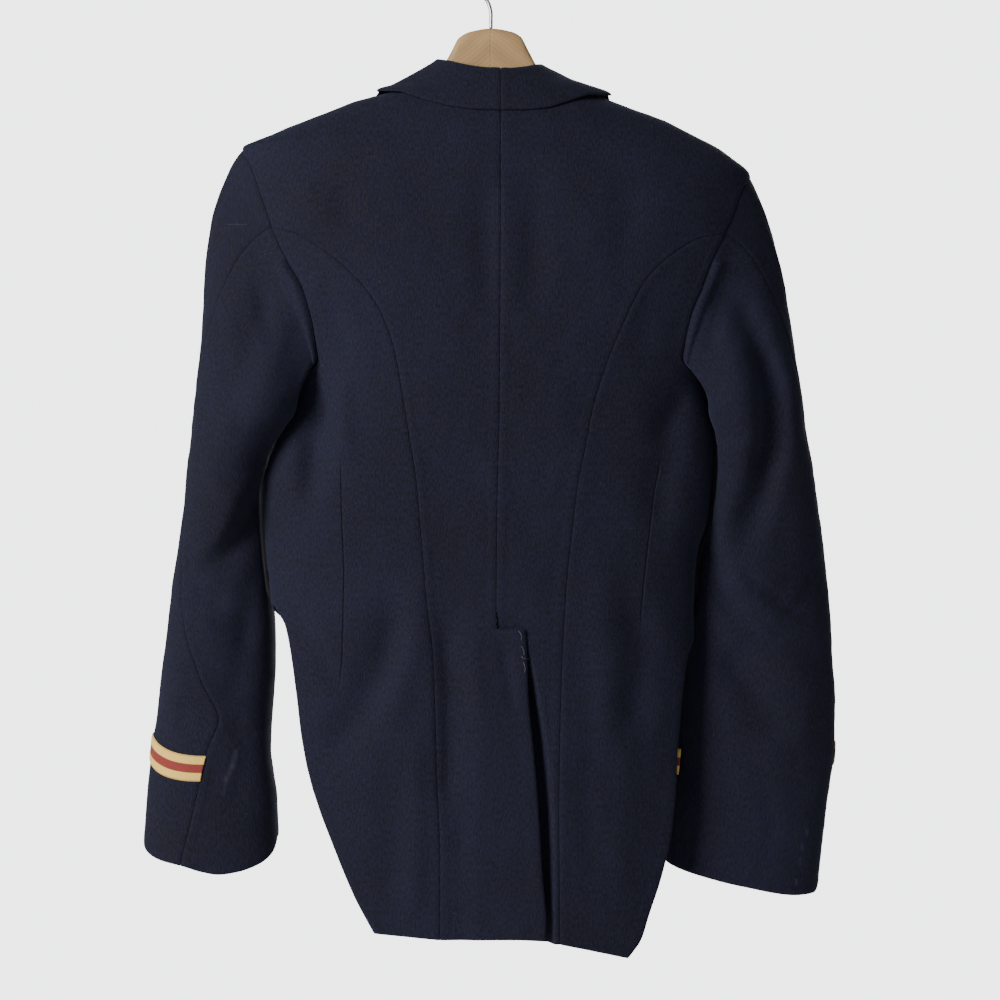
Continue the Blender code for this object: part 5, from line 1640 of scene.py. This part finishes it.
class JACKET_OT_back(bpy.types.Operator):
    """Make the two centre backs with their vent and the two side backs with their darts"""

    bl_idname = "jacket.back"
    bl_label = "Back panels"

    def execute(self, context):
        wall = wall_of(context.scene.jacket_sizes)
        for side in SIDES:
            panel, below_vent = centre_back(side)
            inner_edge = np.where(below_vent, TURNED, SEWN)
            lay_cloth(
                f"centre_back_{side}", f"back_{side}", panel, (SEWN, TURNED, inner_edge, SEWN),
                "wool", wall, trunk_relief,
            )
            lay_cloth(
                f"side_back_{side}_cloth", f"side_back_{side}", side_back(side),
                (SEWN, TURNED, SEWN, side_edge_kinds(side)),
                "wool_dart", wall, trunk_relief, dart_lines(side),
            )
        return {"FINISHED"}


def side_edge_kinds(side):
    """The side back is sewn to the sleeve and the front down to the waist; below it is turned."""
    count = (len(SIDE_DROPS[side]) - 1) * ROW_STEPS + 1
    kinds = np.full(count, SEWN)
    kinds[SIDE_WAIST_ROW * ROW_STEPS:] = TURNED
    return kinds


class JACKET_OT_fronts(bpy.types.Operator):
    """Make the two fronts, open down the middle"""

    bl_idname = "jacket.fronts"
    bl_label = "Fronts"

    def execute(self, context):
        wall = wall_of(context.scene.jacket_sizes)
        for side in SIDES:
            lay_cloth(
                f"front_{side}_cloth", f"front_{side}", front_panel(side),
                (SEWN, TURNED, TURNED, SEWN), "wool", wall, trunk_relief,
            )
        return {"FINISHED"}


class JACKET_OT_collar(bpy.types.Operator):
    """Make the two halves of the shawl collar"""

    bl_idname = "jacket.collar"
    bl_label = "Collar"

    def execute(self, context):
        for side in SIDES:
            strip = collar_strip(side)
            normal = grid_normal(strip)
            if normal[0, -2, 1] > 0:
                normal = -normal
            panel = np.concatenate([strip, normal, grid_weave(strip)[..., ::-1]], axis=-1)
            lay_cloth(
                f"shawl_collar_{side}", f"collar_{side}", panel, (SEWN, TURNED, PLAIN, TURNED),
                "wool", COLLAR_WALL,
                lambda points, _: 0.5 * unevenness(points),
            )
        return {"FINISHED"}


class JACKET_OT_sleeves(bpy.types.Operator):
    """Make the top sleeves and under sleeves"""

    bl_idname = "jacket.sleeves"
    bl_label = "Sleeves"

    def execute(self, context):
        wall = wall_of(context.scene.jacket_sizes)
        for side in SIDES:
            relief = functools.partial(sleeve_relief, side=side)
            for part, panel in sleeve_pair(side).items():
                lay_cloth(
                    f"{part}_sleeve_{side}_cloth", f"{part}_sleeve_{side}", panel,
                    (SEWN, TURNED, SEWN, SEWN), f"wool_{side}", wall,
                    relief,
                )
        return {"FINISHED"}


class JACKET_OT_braids(bpy.types.Operator):
    """Make the woven braid on each cuff"""

    bl_idname = "jacket.braids"
    bl_label = "Braids"

    def execute(self, context):
        for side in SIDES:
            lay_cloth(
                f"cuff_braid_{side}", f"braid_{side}", braid_panel(side),
                (TURNED, TURNED, PLAIN, PLAIN), "braid", BRAID_WALL,
            )
        return {"FINISHED"}


def stitch_tree():
    """Geometry nodes that lay one stitch after another along the edges of a path."""
    tree = bpy.data.node_groups.new("stitch_row", "GeometryNodeTree")
    faces = tree.interface
    faces.new_socket("Path", in_out="INPUT", socket_type="NodeSocketGeometry")
    for name in ("Stitch length", "Stitch gap", "Thread radius"):
        socket = faces.new_socket(name, in_out="INPUT", socket_type="NodeSocketFloat")
        socket.subtype = "DISTANCE"
        socket.min_value = 0.00005
    faces.new_socket("Thread", in_out="INPUT", socket_type="NodeSocketMaterial")
    faces.new_socket("Stitches", in_out="OUTPUT", socket_type="NodeSocketGeometry")

    def node(kind, **settings):
        made = tree.nodes.new(kind)
        for key, value in settings.items():
            setattr(made, key, value)
        return made

    given = node("NodeGroupInput")
    result = node("NodeGroupOutput")
    curve = node("GeometryNodeMeshToCurve")
    pitch = node("ShaderNodeMath", operation="ADD")
    points = node("GeometryNodeCurveToPoints", mode="LENGTH")
    aim = node("FunctionNodeAlignRotationToVector", axis="Z")
    half = node("ShaderNodeMath", operation="MULTIPLY")
    half.inputs[1].default_value = 0.5
    size = node("ShaderNodeCombineXYZ")
    stitch = node("GeometryNodeMeshUVSphere")
    stitch.inputs["Segments"].default_value = 6
    stitch.inputs["Rings"].default_value = 5
    stitch.inputs["Radius"].default_value = 1.0
    lay = node("GeometryNodeInstanceOnPoints")
    whole = node("GeometryNodeRealizeInstances")
    smooth = node("GeometryNodeSetShadeSmooth")
    paint = node("GeometryNodeSetMaterial")
    for a, b in (
        (given.outputs["Path"], curve.inputs["Mesh"]),
        (curve.outputs["Curve"], points.inputs["Curve"]),
        (given.outputs["Stitch length"], pitch.inputs[0]),
        (given.outputs["Stitch gap"], pitch.inputs[1]),
        (pitch.outputs[0], points.inputs["Length"]),
        (points.outputs["Tangent"], aim.inputs["Vector"]),
        (given.outputs["Stitch length"], half.inputs[0]),
        (given.outputs["Thread radius"], size.inputs["X"]),
        (given.outputs["Thread radius"], size.inputs["Y"]),
        (half.outputs[0], size.inputs["Z"]),
        (points.outputs["Points"], lay.inputs["Points"]),
        (stitch.outputs["Mesh"], lay.inputs["Instance"]),
        (aim.outputs["Rotation"], lay.inputs["Rotation"]),
        (size.outputs[0], lay.inputs["Scale"]),
        (lay.outputs["Instances"], smooth.inputs["Geometry"]),
        (smooth.outputs["Geometry"], whole.inputs["Geometry"]),
        (whole.outputs["Geometry"], paint.inputs["Geometry"]),
        (given.outputs["Thread"], paint.inputs["Material"]),
        (paint.outputs["Geometry"], result.inputs["Stitches"]),
    ):
        tree.links.new(a, b)
    return tree


def stitch_row(name, tree, lines, thread, sizes):
    """A plain mesh of stitches along the given lines of points."""
    verts, edges = [], []
    for line in lines:
        start = len(verts)
        verts.extend((np.asarray(line) * MM).tolist())
        edges.extend((start + k, start + k + 1) for k in range(len(line) - 1))
    path = bpy.data.meshes.new(f"{name}_path")
    path.from_pydata(verts, edges, [])
    holder = bpy.data.objects.new(f"{name}_holder", path)
    bpy.context.scene.collection.objects.link(holder)
    modifier = holder.modifiers.new("stitches", "NODES")
    modifier.node_group = tree
    given = {
        "Stitch length": sizes.stitch_length, "Stitch gap": sizes.stitch_gap,
        "Thread radius": sizes.thread_radius, "Thread": thread,
    }
    for item in tree.interface.items_tree:
        if item.item_type == "SOCKET" and item.in_out == "INPUT" and item.name in given:
            modifier[item.identifier] = given[item.name]
    holder.update_tag()
    bpy.context.view_layer.update()
    graph = bpy.context.evaluated_depsgraph_get()
    made = bpy.data.meshes.new_from_object(holder.evaluated_get(graph))
    made.name = name
    bpy.data.objects.remove(holder, do_unlink=True)
    if not made.polygons:
        raise RuntimeError(f"{name} has no stitches")
    if not made.materials:
        made.materials.append(thread)
    piece = bpy.data.objects.new(name, made)
    bpy.context.scene.collection.objects.link(piece)
    return piece


class JACKET_OT_stitches(bpy.types.Operator):
    """Sew the braids and the vent, with the loose ends of its tacking thread"""

    bl_idname = "jacket.stitches"
    bl_label = "Stitches"

    def execute(self, context):
        sizes = context.scene.jacket_sizes
        tree = stitch_tree()
        radius = sizes.thread_radius / MM
        for side in SIDES:
            lines = []
            for across in BRAID_SEWING:
                points, ways = braid_line(side, across)
                lift = BRAID_LIFT + BRAID_WALL - TURNED_GROOVE * 0.15 + radius * 0.3
                lines.append(points + ways * lift)
            piece = stitch_row(f"braid_stitches_{side}", tree, lines, material("yellow_thread"), sizes)
            dress(piece, [])
        piece = stitch_row("vent_stitches", tree, vent_lines(radius), material("dark_thread"), sizes)
        dress(piece, [])
        verts, faces = loose_ends()
        piece = add_mesh("loose_threads", verts, faces, material("pale_thread"))
        dress(piece, [])
        return {"FINISHED"}


def back_spot(x, drop, lift):
    """A point on the outer face of the left back's vent lap, lifted off it."""
    x, drop = np.broadcast_arrays(np.asarray(x, float), np.asarray(drop, float))
    q = lateral(x, drop, "right")
    points = shifted(trunk_point(q, drop, "right"), drop, "left")
    normal = trunk_normal(q, drop, "right")
    return points + normal * (trunk_relief(points, normal) + lift)[..., None]


def vent_lines(radius):
    """Stitching across the top of the vent lap."""
    x = np.linspace(7.0, 25.0, 12)
    return [back_spot(x, 623.4, radius * 0.4)]


LOOSE_ENDS = [
    # start x, start drop, end x, end drop, bow sideways, height off the cloth
    (25.0, 622.0, 27.4, 631.0, 1.4, 1.6),
    (27.5, 636.0, 30.0, 644.5, 1.0, 1.5),
    (28.0, 645.0, 34.5, 648.0, -2.0, 2.6),
    (29.5, 651.0, 30.8, 660.0, 0.8, 1.2),
]


def loose_ends():
    """Short ends of pale tacking thread along the vent edge."""
    verts, faces = [], []
    for x0, d0, x1, d1, bow, height in LOOSE_ENDS:
        share = np.linspace(0, 1, 5)
        hump = np.sin(math.pi * share)
        x = x0 + (x1 - x0) * share + bow * hump
        drop = d0 + (d1 - d0) * share
        base = back_spot(np.minimum(x, 28.0), drop, 0.0)
        base[:, 0] = x
        base[:, 1] -= 0.15 + height * hump ** 0.7
        tube, tube_faces = round_wire(base, 0.08, 14, 6)
        start = sum(len(v) for v in verts)
        verts.append(tube)
        faces.extend([[start + k for k in face] for face in tube_faces])
    return np.concatenate(verts), faces


class JACKET_OT_hanger(bpy.types.Operator):
    """Make the wooden hanger and its wire hook"""

    bl_idname = "jacket.hanger"
    bl_label = "Hanger"

    def execute(self, context):
        table = np.array(HANGER, float)
        x = refine(table[:, 0], 4)
        stations = [(at, *(float(smooth_curve(HANGER, at, c)) for c in (1, 2, 3))) for at in x]
        wood = add_mesh("hanger_beech", *rounded_bar(stations, 40, 3.6), material("wood"))
        dress(wood, ["hanger_wood"])
        path = [(x, 0.0, -drop) for x, drop in HOOK]
        hook = add_mesh("hook_wire", *round_wire(path, WIRE_RADIUS, 150, 20), material("steel"))
        dress(hook, ["hanger_hook"])
        return {"FINISHED"}


class JACKET_OT_stage(bpy.types.Operator):
    """Lay the pale floor, the soft lights and the camera"""

    bl_idname = "jacket.stage"
    bl_label = "Stage"

    def execute(self, context):
        stage = context.scene.jacket_stage
        around = 96
        angle = np.linspace(0, 2 * math.pi, around, endpoint=False)
        r = stage.floor_radius / MM
        level = stage.floor_level / MM
        top = np.stack([r * np.cos(angle), r * np.sin(angle), np.full(around, level)], axis=-1)
        below = top - np.array([0.0, 0.0, 20.0])
        verts = np.concatenate([top, below])
        faces = [list(range(around)), list(range(2 * around - 1, around - 1, -1))]
        faces += [[k, k + around, (k + 1) % around + around, (k + 1) % around] for k in range(around)]
        mesh = bpy.data.meshes.new("floor")
        mesh.from_pydata((verts * MM).tolist(), [], faces)
        mesh.materials.append(material("floor"))
        floor = bpy.data.objects.new("floor", mesh)
        context.scene.collection.objects.link(floor)
        soft_light("key_light", (-2.4, -2.1, 0.35), stage.key_power, 1.5, (1.0, 0.985, 0.96))
        soft_light("fill_light", (2.2, -1.8, -0.2), stage.fill_power, 1.8, (0.93, 0.96, 1.0))
        soft_light("far_light", (0.9, 3.0, 0.3), stage.far_power, 2.2, (0.97, 0.98, 1.0))
        context.scene.world = pale_room(stage)
        camera = bpy.data.cameras.new("camera")
        camera.lens = stage.camera_lens
        camera.sensor_width = 36.0
        camera.clip_start = 0.05
        camera.clip_end = 60.0
        holder = bpy.data.objects.new("camera", camera)
        holder.location = stage.camera_place
        holder.rotation_euler = (math.pi / 2, 0.0, 0.0)
        context.scene.collection.objects.link(holder)
        context.scene.camera = holder
        return {"FINISHED"}


def pale_room(stage):
    """Pale light all round, and a paler plain backdrop where the room itself is seen."""
    room = bpy.data.worlds.new("pale_room")
    room.use_nodes = True
    tree = room.node_tree
    light = tree.nodes["Background"]
    light.inputs["Color"].default_value = (*stage.room_colour, 1.0)
    light.inputs["Strength"].default_value = stage.room_strength
    backdrop = tree.nodes.new("ShaderNodeBackground")
    backdrop.inputs["Color"].default_value = (*stage.room_colour, 1.0)
    backdrop.inputs["Strength"].default_value = stage.backdrop_strength
    path = tree.nodes.new("ShaderNodeLightPath")
    both = tree.nodes.new("ShaderNodeMixShader")
    tree.links.new(path.outputs["Is Camera Ray"], both.inputs[0])
    tree.links.new(light.outputs[0], both.inputs[1])
    tree.links.new(backdrop.outputs[0], both.inputs[2])
    tree.links.new(both.outputs[0], tree.nodes["World Output"].inputs["Surface"])
    return room


# the point of the coat that the lights face
AIM = Vector((0.0, 0.0, -0.48))


def soft_light(name, place, power, size, colour):
    """A large square light that faces the coat."""
    light = bpy.data.lights.new(name, "AREA")
    light.shape = "SQUARE"
    light.size = size
    light.energy = power
    light.color = colour
    holder = bpy.data.objects.new(name, light)
    holder.location = place
    holder.rotation_mode = "QUATERNION"
    holder.rotation_quaternion = (AIM - Vector(place)).to_track_quat("-Z", "Y")
    bpy.context.scene.collection.objects.link(holder)


class JACKET_PT_parts(bpy.types.Panel):
    """The pieces of the coat and its stage"""

    bl_label = "Mess jacket"
    bl_idname = "JACKET_PT_parts"
    bl_space_type = "VIEW_3D"
    bl_region_type = "UI"
    bl_category = "Jacket"

    def draw(self, context):
        for group in (context.scene.jacket_sizes, context.scene.jacket_stage):
            for name in group.bl_rna.properties.keys():
                if name not in ("rna_type", "name"):
                    self.layout.prop(group, name)
        for operator in OPERATORS:
            self.layout.operator(operator.bl_idname)


OPERATORS = (
    JACKET_OT_hanger,
    JACKET_OT_back,
    JACKET_OT_fronts,
    JACKET_OT_collar,
    JACKET_OT_sleeves,
    JACKET_OT_braids,
    JACKET_OT_stitches,
    JACKET_OT_stage,
)
CLASSES = (JacketSizes, StageSizes, *OPERATORS, JACKET_PT_parts)


def register():
    for kind in CLASSES:
        bpy.utils.register_class(kind)
    bpy.types.Scene.jacket_sizes = bpy.props.PointerProperty(type=JacketSizes)
    bpy.types.Scene.jacket_stage = bpy.props.PointerProperty(type=StageSizes)


def unregister():
    del bpy.types.Scene.jacket_stage
    del bpy.types.Scene.jacket_sizes
    for kind in reversed(CLASSES):
        bpy.utils.unregister_class(kind)


def main():
    register()
    bpy.ops.jacket.hanger()
    bpy.ops.jacket.back()
    bpy.ops.jacket.fronts()
    bpy.ops.jacket.collar()
    bpy.ops.jacket.sleeves()
    bpy.ops.jacket.braids()
    bpy.ops.jacket.stitches()
    bpy.ops.jacket.stage()


if __name__ == "__main__":
    main()
